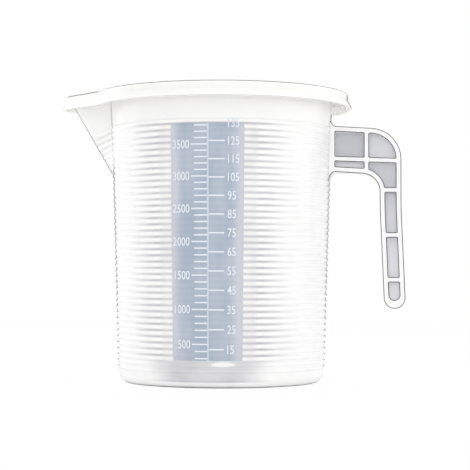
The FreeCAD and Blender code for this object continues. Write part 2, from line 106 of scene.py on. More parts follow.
# Widths over which one stretch of the jug's outside gives way to the next
SPOUT_FADE = 2 * MM               # wall to spout, by how far the spout stands out
RIB_FADE = 1 * MM                 # the wall's ribs before the spout
STRIP_FADE = math.radians(1.5)    # the strips beside the window, sideways
STRIP_TOP_FADE = 2 * MM           # their upper ends, at the window's top
LOW_FADE = 1.5 * MM               # the wall under the window
CREASE_HALF = 0.7 * MM            # painted shade: the dark line round the spout's root, to each side
STRIP_SHARE = 0.5                 # how far a strip goes towards its own milkiness
# The wall's sides, painted whiter as a painted highlight: cosine of the turn where they begin, and
# over how much they set in
SIDES = (0.4, 0.5)
LOW_SIDES = (0.25, 0.45)          # the same under the window
# Ribs of the spout, in rib pitches and rib widths
SPOUT_RIB_FADE = 1.5              # they fade over this many pitches towards the rim
SPOUT_RIB_CREST, SPOUT_RIB_FLANK = 0.3, 0.5
SPOUT_FOOT_REACH = 10 * MM        # nothing of the spout is lower than this under its foot

# Small roundings
RIM_EDGE = 0.4 * MM                                   # edges of the rim flange
RING_EDGE = ((0.1 * MM, 0.3 * MM), (0.4 * MM, 0.0))   # (outwards, height) on the standing ring
GATE_FILLET, GATE_EDGE = 0.3 * MM, 0.4 * MM           # foot and top of the gate's boss
STEP_ROUND, STEP_END = 0.12 * MM, 0.6 * MM            # the lid's step, across and in height
SKIRT_DRAFT, LIP_SLOPE = 0.1 * MM, 0.3 * MM           # the lid's skirt under the step

# Mesh steps
SPOUT_LINES = ((36, 2), (14, 4))       # (columns on each side of the keel, columns in a degree)
FINE_TURN = math.radians(0.12)         # width of the narrow columns at an upright edge
NEAR_COLUMN = FINE_TURN * 0.9          # a column this close to another is left out
NEAR_ROW = 0.05 * MM                   # a row this close to the window's ends gives way
CORNER_GAP = 0.3 * MM                  # no row of the wall is closer to the base corner
COLLAR_ROWS = 8                        # from the top rib to the rim flange
QUARTER_STEPS = 6                      # round a quarter turn
CURVE_STEP = math.radians(7.5)         # along the handle's curves
INSIDE_ROWS = (2, 48, 8)               # inside of the wall: under, beside and over the window
UNDERSIDE_SHARES = (0.1, 0.2, 0.4, 0.6, 0.8, 0.95, 1.0)   # of the dome's radius, outwards
FLOOR_SHARES = (1.0, 0.9, 0.75, 0.6, 0.45, 0.3, 0.2)      # the same inside, inwards
PANEL_SHARES = (0.25, 0.5, 0.75, 0.9)                     # of the lid's panel
BRIDGE_SHARES = (0.25, 0.5, 0.75)                         # from a circle to the lid's outline
OUTLINE_STEPS = (90, 12, 8, 12)        # lid: round, throat, beak's side and half its tip
WINDOW_COLUMNS, WINDOW_ROWS = 24, 60
HALVINGS = 40                          # of the range in which a level is looked for
EDGE_STEP = 0.3                        # an edge of the window has a row at this share
TINY = 1e-7                            # lengths and angles under this count as none

# The window is milky beside its upright edges: where that starts and over how much it sets in,
# as shares of its half
MARGIN_START, MARGIN_FADE = 0.6, 0.45
MILLILITRE_LABELS = range(500, 3501, 500)
OUNCE_LABELS = range(15, 136, 10)
NUMERAL_WEIGHT = 0.012                 # thickens the font's strokes, as a share of its size

GRIP_BAR_DROPS = (49.4 * MM, 83.8 * MM, 117.9 * MM)   # arm's top to each bar across the grip
FRAME_GAP = 0.05 * MM                  # air between the handle's frame and the wall
END_FLAT = 0.01 * MM                   # kept flat on each side of the middle of the grip's end
FLATTEST = math.radians(140)           # a pocket's corner that opens wider isn't rounded
WEB_CORNER = 0.35                      # the web's further milkiness in its outer upper pocket

# The painted dark line of shade at a moulding's edge runs where the normal's share along Z, or
# along Y on the handle's frame, lies between these
TOP_LINE, FOOT_LINE, FRAME_LINE = (0.5, 0.99), (-0.8, -0.3), (0.2, 0.97)

PLASTIC_IOR = 1.49                     # polypropylene
WAVE_RADIANS = 20                      # the wave texture's phase over one unit of its scale
REFLECTION_SHARE, FAR_RIB_SHARE = 0.35, 0.16   # how much lighter they make the window; the streaks are painted reflections
BACKDROP_BLUR = 0.1                    # the backdrop's edge, in the cosine of its angle

# Lamps: name, place, aim, power in watts, width, whether gloss mirrors it
LAMPS = (
    ("left_softbox", (-1.0, 0.45, 0.2), (0, 0, 0.12), 3.2, 1.3, True),
    ("right_softbox", (1.1, 0.1, 0.2), (0, 0, 0.12), 2.8, 1.3, True),
    ("front_softbox", (0.2, -1.6, 0.1), (0, 0, 0.15), 5.0, 1.0, False),
)


def hex_colour(text):
    """Linear colour, with an alpha of 1, of an sRGB hex value such as #F4F5F7."""
    channels = [int(text[i:i + 2], 16) / 255 for i in (1, 3, 5)]
    return [c / 12.92 if c <= 0.04045 else ((c + 0.055) / 1.055) ** 2.4 for c in channels] + [1.0]


def length(name, description, default):
    """A size in metres that a user can set."""
    return bpy.props.FloatProperty(name=name, description=description, default=default,
                                   min=0.0, unit="LENGTH", precision=5)


def ratio(name, description, default):
    """A plain number that a user can set."""
    return bpy.props.FloatProperty(name=name, description=description, default=default)


def fraction(name, description, default):
    """A share from 0 to 1 that a user can set."""
    return bpy.props.FloatProperty(name=name, description=description, default=default,
                                   min=0.0, max=1.0, subtype="FACTOR")


def angle(name, description, degrees):
    """An angle that a user can set, with its default in degrees."""
    return bpy.props.FloatProperty(name=name, description=description,
                                   default=math.radians(degrees), unit="ROTATION")


def colour(name, description, text):
    """A colour that a user can set, with its default as an sRGB hex value."""
    return bpy.props.FloatVectorProperty(name=name, description=description, size=4, min=0.0,
                                         max=1.0, subtype="COLOR", default=hex_colour(text))


# ---- settings ------------------------------------------------------------------------------

class PitcherJug(bpy.types.PropertyGroup):
    """Sizes, milkiness and colours of the jug."""
    slope: ratio("Draft", "Radius gained for each metre of height", 0.030)
    wall: length("Wall", "Thickness of the wall", 1.5 * MM)
    base_corner: length("Base corner", "Radius of the corner between wall and foot", 8 * MM)
    floor_corner: length("Floor corner", "Radius of the inside corner at the floor", 5 * MM)
    foot_band: length("Foot band", "Standing ring and base corner, across", 9.4 * MM)
    floor_recess: length("Floor recess", "Floor's edge above the standing plane", 1.4 * MM)
    floor_edge: length("Floor edge", "Inside of the floor beside the wall", 3.6 * MM)
    gate_radius: length("Gate radius", "Round moulding boss on the floor", 8.5 * MM)
    gate_height: length("Gate height", "Height of that boss", 1.2 * MM)
    rib_height: length("Rib height", "How proud each grip rib is", 0.6 * MM)
    rib_width: length("Rib width", "Width of each grip rib", 2.1 * MM)
    rib_pitch: length("Rib pitch", "From rib to rib", 4.57 * MM)
    top_rib_drop: length("Top rib drop", "Rim to the top rib", 25.6 * MM)
    lowest_rib: length("Lowest rib", "No rib is lower", 10.6 * MM)
    spout_height: length("Spout height", "Keel's foot to the rim", 62.3 * MM)
    spout_slope: ratio("Spout slope", "Keel run outwards for its height", 0.585)
    spout_root_depth: length("Spout root depth", "Root chord inside the wall", 4.3 * MM)
    spout_root_half: length("Spout root half width", "Half the root chord", 20 * MM)
    spout_keel: length("Spout keel", "Radius of the spout's keel", 5 * MM)
    spout_blend: length("Spout blend", "Fillet between spout and wall", 1.0 * MM)
    spout_rib_height: length("Spout rib height", "Ribs on the spout's sides", 0.25 * MM)
    spout_rib_tilt: ratio("Spout rib tilt", "Fall of those ribs for their run outwards", 0.33)
    strip: angle("Strip", "Thicker strip of the wall on each side of the window", 8)
    strip_milkiness: fraction("Strip milkiness", "Milkiness that the strip tends to", 0.4)
    low_milkiness: fraction("Low milkiness", "Milkiness under the window", 0.22)
    spout_milkiness: fraction("Spout milkiness", "Milkiness between the spout's ribs", 0.5)
    # painted highlight: how far the wall's sides are painted whiter, for the glare of the side
    # lamps
    side_milkiness: fraction("Side milkiness", "How far the wall's sides turn milky", 0.92)
    parting_half: angle("Parting line half width", "On the spout's keel, about the axis", 0.5)
    parting_height: length("Parting line height", "How proud that line is", 0.8 * MM)
    flange_inset: length("Flange inset", "Skirt's outside to the flange's edge", 1.9 * MM)
    flange_edge: length("Flange edge", "Width of the turned-down edge", 1.6 * MM)
    column_step: angle("Column step", "Turn from one upright mesh line to the next", 1.5)
    plastic: colour("Plastic", "Natural polypropylene where it is thick", "#FFFEFC")
    # partly painted shade: thin plastic is clearer, and this grey stands in for the shade under the
    # ribs and the dim inside seen through it
    clear: colour("Clear plastic", "The same where it is thin or smooth", "#C6C5CA")
    # painted shade: a dark line painted along the moulding's edges, for the shade and the dim room
    # that an edge refracts
    edges: colour("Edges", "The same at the edges of the moulding", "#3E3E42")


class PitcherScale(bpy.types.PropertyGroup):
    """Sizes and colours of the window and the two scales."""
    edge: length("Window edge", "Rounding of the window's edge", 0.35 * MM)
    seam: length("Window seam", "Gap between the window and the wall", 0.02 * MM)
    mark_height: length("Mark height", "How proud the marks are", 0.35 * MM)
    digit_height: length("Digit height", "Height of the numerals", 6.4 * MM)
    digit_stretch: fraction("Digit stretch", "Width of the numerals against the plain font's", 0.74)
    millilitre_right: angle("Millilitre numerals", "Right end, from the middle", -8.7)
    ounce_left: angle("Ounce numerals", "Left end, from the middle", 10.4)
    ounce: ratio("Fluid ounce", "Millilitres in a fluid ounce", 28.413)
    window: colour("Window", "Polished natural polypropylene", "#B6C4D6")
    window_side: colour("Window side", "The same beside the window's upright edges", "#DEE2EC")
    marks: colour("Marks", "Frosted raised marks", "#E2E8F0")
    divider: colour("Divider", "Frosted line between the two scales", "#CBD4E0")


class PitcherHandle(bpy.types.PropertyGroup):
    """Sizes and colours of the handle."""
    rail: length("Rail", "Thickness of the rail round the outline", 4.2 * MM)
    bar: length("Bar", "Thickness of each cross rib", 4 * MM)
    edge: length("Edge", "Rounding of every outside edge", 0.6 * MM)
    pocket_corner: length("Pocket corner", "Radius in the corners of the pockets", 0.5 * MM)
    root_depth: length("Root depth", "The outline is closed this far inside the wall", 1 * MM)
    flare_run: length("Flare run", "The flare into the wall, outwards", 2.7 * MM)
    flare_top: length("Flare top", "The flare upwards", 3.8 * MM)
    flare_bottom: length("Flare bottom", "The flare downwards", 7.6 * MM)
    flare_under: length("Flare under", "The hollow flare under the arm, outwards", 5 * MM)
    flare_radius: length("Flare radius", "Rounding of the flare", 4 * MM)
    pocket_start: length("Pocket start", "Wall to the first pocket", 3.7 * MM)
    arm_drop: length("Arm drop", "Rim to the arm's top", 23.5 * MM)
    arm_depth: length("Arm depth", "Arm's top to its underside", 35.3 * MM)
    arm_slope: ratio("Arm slope", "Fall of the arm for its run", 0.064)
    grip_reach: length("Grip reach", "Wall to the back of the grip", 54.1 * MM)
    grip_width: length("Grip width", "Width of the grip", 16.4 * MM)
    grip_bend_drop: length("Grip bend drop", "Arm's top to the grip's bend", 61.4 * MM)
    grip_bend: length("Grip bend", "Radius of the grip's bend", 300 * MM)
    grip_slope: ratio("Grip slope", "Outward run below the bend", 0.0435)
    shoulder: length("Shoulder", "Outer corner between arm and grip", 24 * MM)
    finger: length("Finger corner", "Inner corner between arm and grip", 14 * MM)
    arm_bar_run: length("Arm bar run", "Wall to the upright bar", 27.6 * MM)
    arm_bar_drop: length("Arm bar drop", "Arm's top to the bar along it", 25.1 * MM)
    arm_bar_slope: ratio("Arm bar slope", "Fall of that bar for its run", 0.04)
    end_wall: length("End wall", "Lowest pocket to the grip's lower end", 6.6 * MM)
    plastic: colour("Plastic", "Natural polypropylene, thick and milky", "#FFFFFF")
    # partly painted shade: the web is clearer than the rail, and its grey also stands in for the
    # shade in the pockets
    web: colour("Web", "Thin web behind the pockets of the arm", "#C2C3CA")
    web_end: colour("Web end", "The same at the grip's lower end", "#F3F3F6")


class PitcherLid(bpy.types.PropertyGroup):
    """Sizes and colours of the lid."""
    wall: length("Wall", "Thickness of the lid", 1.6 * MM)
    lip: length("Lip", "How far the lip stands outside the skirt", 2.6 * MM)
    lip_height: length("Lip height", "Height of the lip", 1.2 * MM)
    step: length("Step", "How far the step stands outside the skirt", 1.7 * MM)
    step_depth: length("Step depth", "Lid's top to the start of the step", 5.2 * MM)
    step_height: length("Step height", "Height of the sloping step", 2.4 * MM)
    edge: length("Edge", "Rounding of the upper edge", 1.5 * MM)
    small_edge: length("Small edge", "Rounding of the other edges", 0.4 * MM)
    top_gap: length("Top gap", "Rim to the lid's underside", 0.2 * MM)
    beak_half: angle("Beak half angle", "Half the beak's angle", 44)
    beak_tip: length("Beak tip", "Radius of the beak's tip", 20 * MM)
    beak_rise: length("Beak rise", "The skirt's foot is this much higher at the beak", 0.6 * MM)
    beak_tuck: length("Beak tuck", "The lip stands out this much less at the beak", 1.2 * MM)
    beak_round: length("Beak round", "Further rounding of the beak's upper edge", 0.7 * MM)
    throat: length("Throat", "Hollow curve beside the beak", 13 * MM)
    plastic: colour("Plastic", "Ivory polypropylene", "#FAF6F3")
    # painted shade: a dark line painted along the lid's edges, for the shade that an edge shows
    edges: colour("Edges", "The same at the edges of the moulding", "#75746F")


class PitcherStudio(bpy.types.PropertyGroup):
    """Camera and light."""
    azimuth: angle("Azimuth", "Turn of the picture plane about the jug's axis", 3.463)
    distance: length("Distance", "Camera to the jug's axis", 1152 * MM)
    sideways: length("Sideways", "Camera to the right of the axis", 80.9 * MM)
    eye: length("Eye", "Camera above the standing plane", 82.8 * MM)
    yaw: angle("Yaw", "Turn of the lens to the left", 3.501)
    pitch: angle("Pitch", "Turn of the lens upwards", 1.546)
    roll: angle("Roll", "Turn of the picture about the lens", 0.142)
    lens: bpy.props.FloatProperty(name="Lens", description="Focal length", default=113.4,
                                  unit="CAMERA")
    floor: colour("Floor", "Seamless white paper", "#FFFFFF")
    paper: length("Paper", "Half the paper's width", 1.5)
    glow: fraction("Paper glow", "How much of the paper is shown plain white", 0.9)
    backdrop: angle("Backdrop", "Half angle of the white backdrop behind the pitcher", 50)
    sides: fraction("Sides", "Brightness of the studio beside the backdrop", 0.4)
    surround: ratio("Surround", "Strength of the soft light from all sides", 0.89)
    front: ratio("Front", "Further strength of the light from the front", 0.06)
    left_card: angle("Left card", "Middle of the dark card behind the spout", -22.6)
    right_card: angle("Right card", "Middle of the dark card behind the handle", 7.7)
    card_half: angle("Card half width", "Half the width of each dark card", 6.5)
    card: fraction("Card", "Brightness of the cards that draw the edges", 0.0)


# ---- meshes --------------------------------------------------------------------------------

def new_object(name, data):
    """Object of the given data, in the scene."""
    made = bpy.data.objects.new(name, data)
    bpy.context.scene.collection.objects.link(made)
    return made


def smooth_object(name, mesh, material):
    """Smooth object of a mesh, in one material."""
    mesh.name = name
    mesh.materials.clear()
    mesh.materials.append(material)
    mesh.shade_smooth()
    return new_object(name, mesh)


def make_object(name, points, faces, material):
    """Smooth object of points and faces, in one material."""
    mesh = bpy.data.meshes.new(name)
    mesh.from_pydata(points, [], faces)
    return smooth_object(name, mesh, material)


def curve_mesh(curve):
    """Mesh of a curve or of a text."""
    holder = new_object(curve.name, curve)
    bpy.context.view_layer.update()
    mesh = bpy.data.meshes.new_from_object(
        holder.evaluated_get(bpy.context.evaluated_depsgraph_get()))
    bpy.data.objects.remove(holder)
    return mesh


def set_milkiness(piece, values):
    """Writes the milkiness of each point, which the materials read."""
    shade = piece.data.attributes.new("milkiness", "FLOAT", "POINT")
    shade.data.foreach_set("value", values)


def sharpen(piece, degrees):
    """Creases the edges that turn by more than an angle."""
    piece.data.set_sharp_from_angle(angle=math.radians(degrees))


def line_edges(piece, material, is_edge):
    """Gives the faces that is_edge(centre, normal) picks a painted dark line, shade that stands in
    for a moulded edge's refraction.
    """
    piece.data.materials.append(material)
    for face in piece.data.polygons:
        if is_edge(face.center, face.normal):
            face.material_index = 1


def face_outwards(piece):
    """Turns every face of a closed mesh to face outwards."""
    mesh = bmesh.new()
    mesh.from_mesh(piece.data)
    bmesh.ops.recalc_face_normals(mesh, faces=mesh.faces)
    mesh.to_mesh(piece.data)
    mesh.free()


def polar(radius, turn, z):
    """Point at a distance from the jug's axis, for a turn from +X and a height."""
    return (radius * math.cos(turn), radius * math.sin(turn), z)


def ring_surface(rows, skip=None):
    """Points and faces between rows, each a ring of as many points or one point at a pole.

    skip(row, column) leaves out the face between that row and the next."""
    points, faces = [], []
    for j, row in enumerate(rows):
        start = len(points)
        points.extend(row)
        if j == 0:
            continue
        below = rows[j - 1]
        before = start - len(below)
        count = max(len(below), len(row))
        for i in range(count):
            if skip and skip(j - 1, i):
                continue
            after = (i + 1) % count
            quad = (before + i % len(below), before + after % len(below),
                    start + after % len(row), start + i % len(row))
            faces.append(tuple(dict.fromkeys(quad)))
    return points, faces


def arc_steps(start, end, count):
    """Angles from start to end, both among them."""
    return [start + (end - start) * i / count for i in range(count + 1)]


def between(low, high, count):
    """Values strictly between two ends, evenly spaced."""
    return [low + (high - low) * i / (count + 1) for i in range(1, count + 1)]


def mixed(value, other, share):
    """The first value moved towards the other by a share."""
    return value + (other - value) * share


def smooth_step(value):
    """0 below 0, 1 above 1, and a smooth rise between."""
    value = max(0.0, min(1.0, value))
    return value * value * (3 - 2 * value)


def smooth_larger(a, b, blend):
    """The larger of two lengths, with a fillet where they cross."""
    overlap = max(blend - abs(a - b), 0.0) / blend
    return max(a, b) + overlap * overlap * blend / 4


# ---- jug -----------------------------------------------------------------------------------

def wall_radius(jug, z):
    """Outside of the plain wall at a height."""
    return WALL_HIGH.x + jug.slope * (z - WALL_HIGH.z)


def window_half_angle(jug):
    """Half the angle that the scale window takes."""
    return math.asin(WINDOW_HIGH.x / (wall_radius(jug, WINDOW_HIGH.z) + jug.rib_height))


def floor_dome(jug):
    """(radius, rise) of the floor's dome, which starts inside the standing ring."""
    rise = FLOOR_HIGH.z - jug.gate_height - jug.floor_edge
    return wall_radius(jug, 0.0) - jug.foot_band, rise


def from_window(turn):
    """Angle of an upright line from the middle of the window, for its turn from +X."""
    return (turn + FULL_TURN / 2 - WINDOW_TURN) % FULL_TURN - FULL_TURN / 2


def to_side(turn, sides=SIDES):
    """0 over the front and the back of the wall, 1 at its sides under spout and handle."""
    start, width = sides
    return smooth_step((abs(math.cos(turn)) - start) / width)


def column_turns(jug):
    """Turn of each upright mesh line from +X, closer together where something begins."""
    step = jug.column_step
    turns = [i * step for i in range(round(FULL_TURN / step))]
    for count, parts in SPOUT_LINES:
        turns += [SPOUT_TURN + math.radians(i / parts) for i in range(-count, count + 1)]
    half = window_half_angle(jug)
    edges = [WINDOW_TURN - half, WINDOW_TURN + half, HANDLE_HALF_ANGLE,
             FULL_TURN - HANDLE_HALF_ANGLE]
    kept = [edge + side for edge in edges for side in (-FINE_TURN, 0.0, FINE_TURN)]
    for turn in sorted(turns):
        if all(abs(turn - other) > NEAR_COLUMN for other in kept):
            kept.append(turn)
    return sorted(kept)


def spout_radius(jug, turn, z, inset):
    """Distance from the axis to the spout's side at a height, for a turn from +X."""
    foot = RIM_Z - jug.spout_height
    off = abs(turn - SPOUT_TURN)
    root_x = wall_radius(jug, foot) - jug.spout_root_depth
    if off > math.atan2(jug.spout_root_half, root_x) or z < foot - SPOUT_FOOT_REACH:
        return 0.0
    keel = wall_radius(jug, foot) + jug.spout_slope * (z - foot)
    centre = keel - jug.spout_keel
    root = Vector((root_x - centre, jug.spout_root_half))
    lean = math.atan2(root.y, root.x) - math.acos(jug.spout_keel / root.length)
    tip = jug.spout_keel - inset
    side = centre * math.cos(lean) + tip
    touch = math.atan2(tip * math.sin(lean), centre + tip * math.cos(lean))
    if off < touch:
        return centre * math.cos(off) + math.sqrt(tip ** 2 - (centre * math.sin(off)) ** 2)
    return side / math.cos(off - lean)


def arm_root(handle):
    """Heights between which the handle's root covers the wall."""
    return RIM_Z - handle.arm_drop - handle.arm_depth - handle.flare_bottom, RAIL_HIGH.z


def on_wall(jug, root, turn, z):
    """Share of a rib that the wall keeps: none in the window or under the handle's root."""
    if (abs(from_window(turn)) < window_half_angle(jug)
            and WINDOW_LOW.z - jug.rib_width / 4 < z < WINDOW_HIGH.z + jug.rib_width / 4):
        return 0.0
    near_handle = min(turn, FULL_TURN - turn) < HANDLE_HALF_ANGLE
    return 0.0 if near_handle and root[0] < z < root[1] else 1.0


def spout_rib(jug, z, out):
    """(share of a rib, milkiness) on the spout's side, where the ribs fan out and fade."""
    place = (z + jug.spout_rib_tilt * out - RIM_Z + jug.top_rib_drop) / jug.rib_pitch
    away = abs(place - round(place)) * jug.rib_pitch / jug.rib_width
    ribbed = smooth_step((1 - place) / SPOUT_RIB_FADE)
    rib = (1 - smooth_step((away - SPOUT_RIB_CREST) / SPOUT_RIB_FLANK)) * ribbed
    return rib, 1 - (1 - jug.spout_milkiness) * (ribbed - rib)


def outer_surface(jug, root, turn, z, rib, milkiness):
    """(radius, milkiness) of the jug's outside: the wall, its ribs and the spout, with its sides
    painted whiter as a painted highlight and painted lines of shade at the spout's root and keel.
    """
    plain = wall_radius(jug, z)
    spout = spout_radius(jug, turn, z, 0.0)
    proud = spout - plain
    side = smooth_step(proud / SPOUT_FADE)
    rib *= smooth_step(-proud / RIB_FADE) * on_wall(jug, root, turn, z)
    beside = window_half_angle(jug) + jug.strip - abs(from_window(turn))
    strip = smooth_step(beside / STRIP_FADE)
    strip *= smooth_step((WINDOW_HIGH.z - z) / STRIP_TOP_FADE)
    milkiness = mixed(milkiness, jug.strip_milkiness, STRIP_SHARE * strip)
    # Painted highlight: the sides under spout and handle, also under the window, are painted whiter
    milkiness = mixed(milkiness, THICK, jug.side_milkiness * to_side(turn))
    low = mixed(jug.low_milkiness, THICK, to_side(turn, LOW_SIDES))
    milkiness = mixed(milkiness, low, smooth_step((WINDOW_LOW.z - z) / LOW_FADE))
    disc = math.hypot((turn - GATE_TURN) / GATE_HALF, (z - GATE_Z) / GATE_HIGH)
    milkiness = mixed(milkiness, THICK, smooth_step((GATE_END - disc) / GATE_FADE))
    own, own_milkiness = spout_rib(jug, z, proud)
    radius = smooth_larger(plain + rib * jug.rib_height,
                           spout + own * side * jug.spout_rib_height, jug.spout_blend)
    milkiness = mixed(milkiness, own_milkiness, side)
    # Painted shade: a dark line round the spout's root and along its keel, where the parting line's
    # ridge is real
    crease = max(1 - abs(proud) / CREASE_HALF, 0.0)
    parting = max(1 - abs(turn - SPOUT_TURN) / jug.parting_half, 0.0) * side
    radius += parting * jug.parting_height
    return radius, mixed(milkiness, EDGE_SHADE, max(crease, min(2 * parting, 1.0)))


def inner_radius(jug, turn, z):
    """Inside of the jug: the bore and the hollow of the spout."""
    bore = wall_radius(jug, z) - jug.wall
    return smooth_larger(bore, spout_radius(jug, turn, z, jug.wall), jug.spout_blend)


def wall_rows(jug):
    """(height, share of a rib, milkiness) of each row up the outside of the wall."""
    top = RIM_Z - jug.top_rib_drop
    count = int((top - jug.lowest_rib) / jug.rib_pitch + 0.5) + 1
    rows = []
    for i in range(count):
        middle = top - (count - 1 - i) * jug.rib_pitch
        rows += [(middle + across * jug.rib_width, share, milkiness)
                 for across, share, milkiness in RIB_PROFILE]
    rows[-1] = (rows[-1][0], 0.0, THICK)
    rows += [(z, 0.0, THICK) for z in between(rows[-1][0], FLANGE_UNDER_Z, COLLAR_ROWS)]
    return rows


def with_heights(rows, heights):
    """The rows with more heights put in, each on the ribs' own outline."""
    kept = [row for row in rows if all(abs(row[0] - z) > NEAR_ROW for z in heights)]
    for z in heights:
        low = max(row for row in rows if row[0] <= z)
        high = min(row for row in rows if row[0] >= z)
        share = (z - low[0]) / max(high[0] - low[0], TINY)
        kept.append((z, mixed(low[1], high[1], share), mixed(low[2], high[2], share)))
    return sorted(kept)


class DomeHeight:
    """Height of a spherical dome over a round edge."""

    def __init__(self, edge_radius, edge_z, rise):
        self.sphere = (rise ** 2 + edge_radius ** 2) / (2 * rise)
        self.centre_z = edge_z + rise - self.sphere

    def at(self, radius):
        return self.centre_z + math.sqrt(self.sphere ** 2 - radius ** 2)


def build_jug_body(jug, lid, handle):
    """The one moulding that makes wall, ribs, spout, floor and rim flange."""
    turns = column_turns(jug)
    root = arm_root(handle)
    rows, milk = [], []

    def add(radius_of, z):
        rows.append([polar(radius_of(t), t, z) for t in turns])
        milk.extend([THICK] * len(turns))

    def add_round(radius, z):
        add(lambda t: radius, z)

    def add_outside(z, rib, milkiness):
        surface = [outer_surface(jug, root, t, z, rib, milkiness) for t in turns]
        rows.append([polar(radius, t, z) for t, (radius, _) in zip(turns, surface)])
        milk.extend(m for _, m in surface)

    def add_corner(radius, z, milkiness):
        rows.append([polar(radius, t, z) for t in turns])
        # Painted light: towards the sides the corner is painted whiter, all but the painted shadow
        # at its foot
        milk.extend(milkiness + to_side(t, LOW_SIDES) * (1 - abs(milkiness)) for t in turns)

    def add_pole(z):
        rows.append([(0.0, 0.0, z)])
        milk.append(THICK)

    # underside of the floor, from its middle out to the standing ring, and the base corner
    foot, rise = floor_dome(jug)
    under = DomeHeight(foot, jug.floor_recess, rise)
    add_pole(under.at(0.0))
    for share in UNDERSIDE_SHARES:
        add_round(foot * share, under.at(foot * share))
    for out, z in RING_EDGE:
        add_round(foot + out, z)
    corner = jug.base_corner
    corner_x = wall_radius(jug, corner) - corner
    for degrees, milkiness in BASE_CORNER:
        turn = math.radians(degrees)
        add_corner(corner_x + corner * math.sin(turn), corner - corner * math.cos(turn),
                   milkiness)

    # outside of the wall
    first = len(rows)
    window_ends = (WINDOW_LOW.z, WINDOW_HIGH.z)
    outside = with_heights([row for row in wall_rows(jug) if row[0] > corner + CORNER_GAP],
                           window_ends)
    for z, rib, milkiness in outside:
        add_outside(z, rib, milkiness)
    add_outside(FLANGE_UNDER_Z, 0.0, THICK)

    # rim flange, from its underside over its edge to the mouth
    edge, low, high = RIM_EDGE, RIM_LOW.z, RIM_Z
    rim_out = PolarOutline(lid_outline(lid, -jug.flange_inset))
    rim_in = PolarOutline(lid_outline(lid, -jug.flange_inset - jug.flange_edge))
    for outline, out, z in ((rim_in, 0.0, FLANGE_UNDER_Z), (rim_in, 0.0, low + edge),
                            (rim_in, edge, low), (rim_out, -edge, low), (rim_out, 0.0, low + edge),
                            (rim_out, 0.0, high - edge), (rim_out, -edge, high)):
        add(lambda t: outline.radius(t) + out, z)
    add(lambda t: inner_radius(jug, t, high) + edge, high)

    # inside, from the rim down to the middle of the floor
    add(lambda t: inner_radius(jug, t, high - edge), high - edge)
    round_in = jug.floor_corner
    bottom = jug.floor_edge + round_in
    below, beside, over = INSIDE_ROWS
    heights = sorted([*between(bottom, WINDOW_LOW.z, below), WINDOW_LOW.z,
                      *between(WINDOW_LOW.z, WINDOW_HIGH.z, beside), WINDOW_HIGH.z,
                      *between(WINDOW_HIGH.z, high - edge, over)], reverse=True)
    inside = len(rows)
    for z in heights:
        add(lambda t: inner_radius(jug, t, z), z)
    floor_x = wall_radius(jug, bottom) - jug.wall - round_in
    for turn in arc_steps(0.0, math.pi / 2, QUARTER_STEPS):
        add_round(floor_x + round_in * math.cos(turn), bottom - round_in * math.sin(turn))
    floor = DomeHeight(foot, jug.floor_edge, rise)
    for share in FLOOR_SHARES:
        add_round(foot * share, floor.at(foot * share))
    gate, gate_top = jug.gate_radius, FLOOR_HIGH.z
    add_round(gate + GATE_FILLET, floor.at(gate))
    add_round(gate, floor.at(gate) + GATE_FILLET)
    add_round(gate, gate_top - GATE_FILLET)
    add_round(gate - GATE_EDGE, gate_top)
    add_pole(gate_top)

    # the opening for the scale window, closed through the wall
    half = window_half_angle(jug) + TINY
    columns = [i for i, t in enumerate(turns) if abs(from_window(t)) <= half]
    outside_z = [row[0] for row in outside]
    outer_low, outer_high = (first + outside_z.index(z) for z in window_ends)
    inner_low, inner_high = (inside + heights.index(z) for z in window_ends)

    def in_window(row, column):
        at_window = outer_low <= row < outer_high or inner_high <= row < inner_low
        return at_window and column in columns[:-1]

    points, faces = ring_surface(rows, in_window)

    def vertex(row, column):
        return 1 + (row - 1) * len(turns) + column

    faces += [tuple(vertex(row, column) for row in (*range(outer_low, outer_high + 1),
                                                    *range(inner_high, inner_low + 1)))
              for column in (columns[0], columns[-1])]
    faces += [(vertex(outer, i), vertex(outer, i + 1), vertex(inner, i + 1), vertex(inner, i))
              for outer, inner in ((outer_low, inner_low), (outer_high, inner_high))
              for i in columns[:-1]]
    piece = make_object("jug_body", points, faces, natural_polypropylene(jug))
    set_milkiness(piece, milk)
    face_outwards(piece)
    sharpen(piece, 50)
    return piece


# ---- lid outline ---------------------------------------------------------------------------

def lid_outline(lid, offset):
    """Plan of the lid's skirt moved out by offset: points anticlockwise from +X.

    There are as many for every offset."""
    round_radius = CAP_HIGH.x - lid.lip + offset
    tip_radius = lid.beak_tip + offset
    throat = lid.throat - offset
    lean = lid.beak_half
    tip_centre = Vector((lid.beak_tip + CAP_LOW.x + lid.lip, 0.0))
    normal = Vector((-math.sin(lean), math.cos(lean)))
    along = Vector((math.cos(lean), math.sin(lean)))
    start = tip_centre + normal * (tip_radius + throat)
    middle = start.dot(along)
    reach = -middle - math.sqrt(middle ** 2 - start.length_squared + (round_radius + throat) ** 2)
    throat_centre = start + along * reach
    tip_end = tip_centre + normal * tip_radius
    side_end = throat_centre - normal * throat
    meet = math.atan2(throat_centre.y, throat_centre.x)
    throat_to = math.atan2(-normal.y, -normal.x) % FULL_TURN
    round_steps, throat_steps, side_steps, tip_steps = OUTLINE_STEPS

    def arc(centre, radius, first, last, count):
        return [centre + Vector((math.cos(a), math.sin(a))) * radius
                for a in arc_steps(first, last, count)]

    points = arc(Vector((0.0, 0.0)), round_radius, 0.0, meet, round_steps)
    points += arc(throat_centre, throat, meet + math.pi, throat_to, throat_steps)[1:]
    points += [side_end.lerp(tip_end, i / side_steps) for i in range(1, side_steps)]
    points += arc(tip_centre, tip_radius, math.atan2(normal.y, normal.x), math.pi, tip_steps)
    return points + [Vector((p.x, -p.y)) for p in reversed(points[1:-1])]


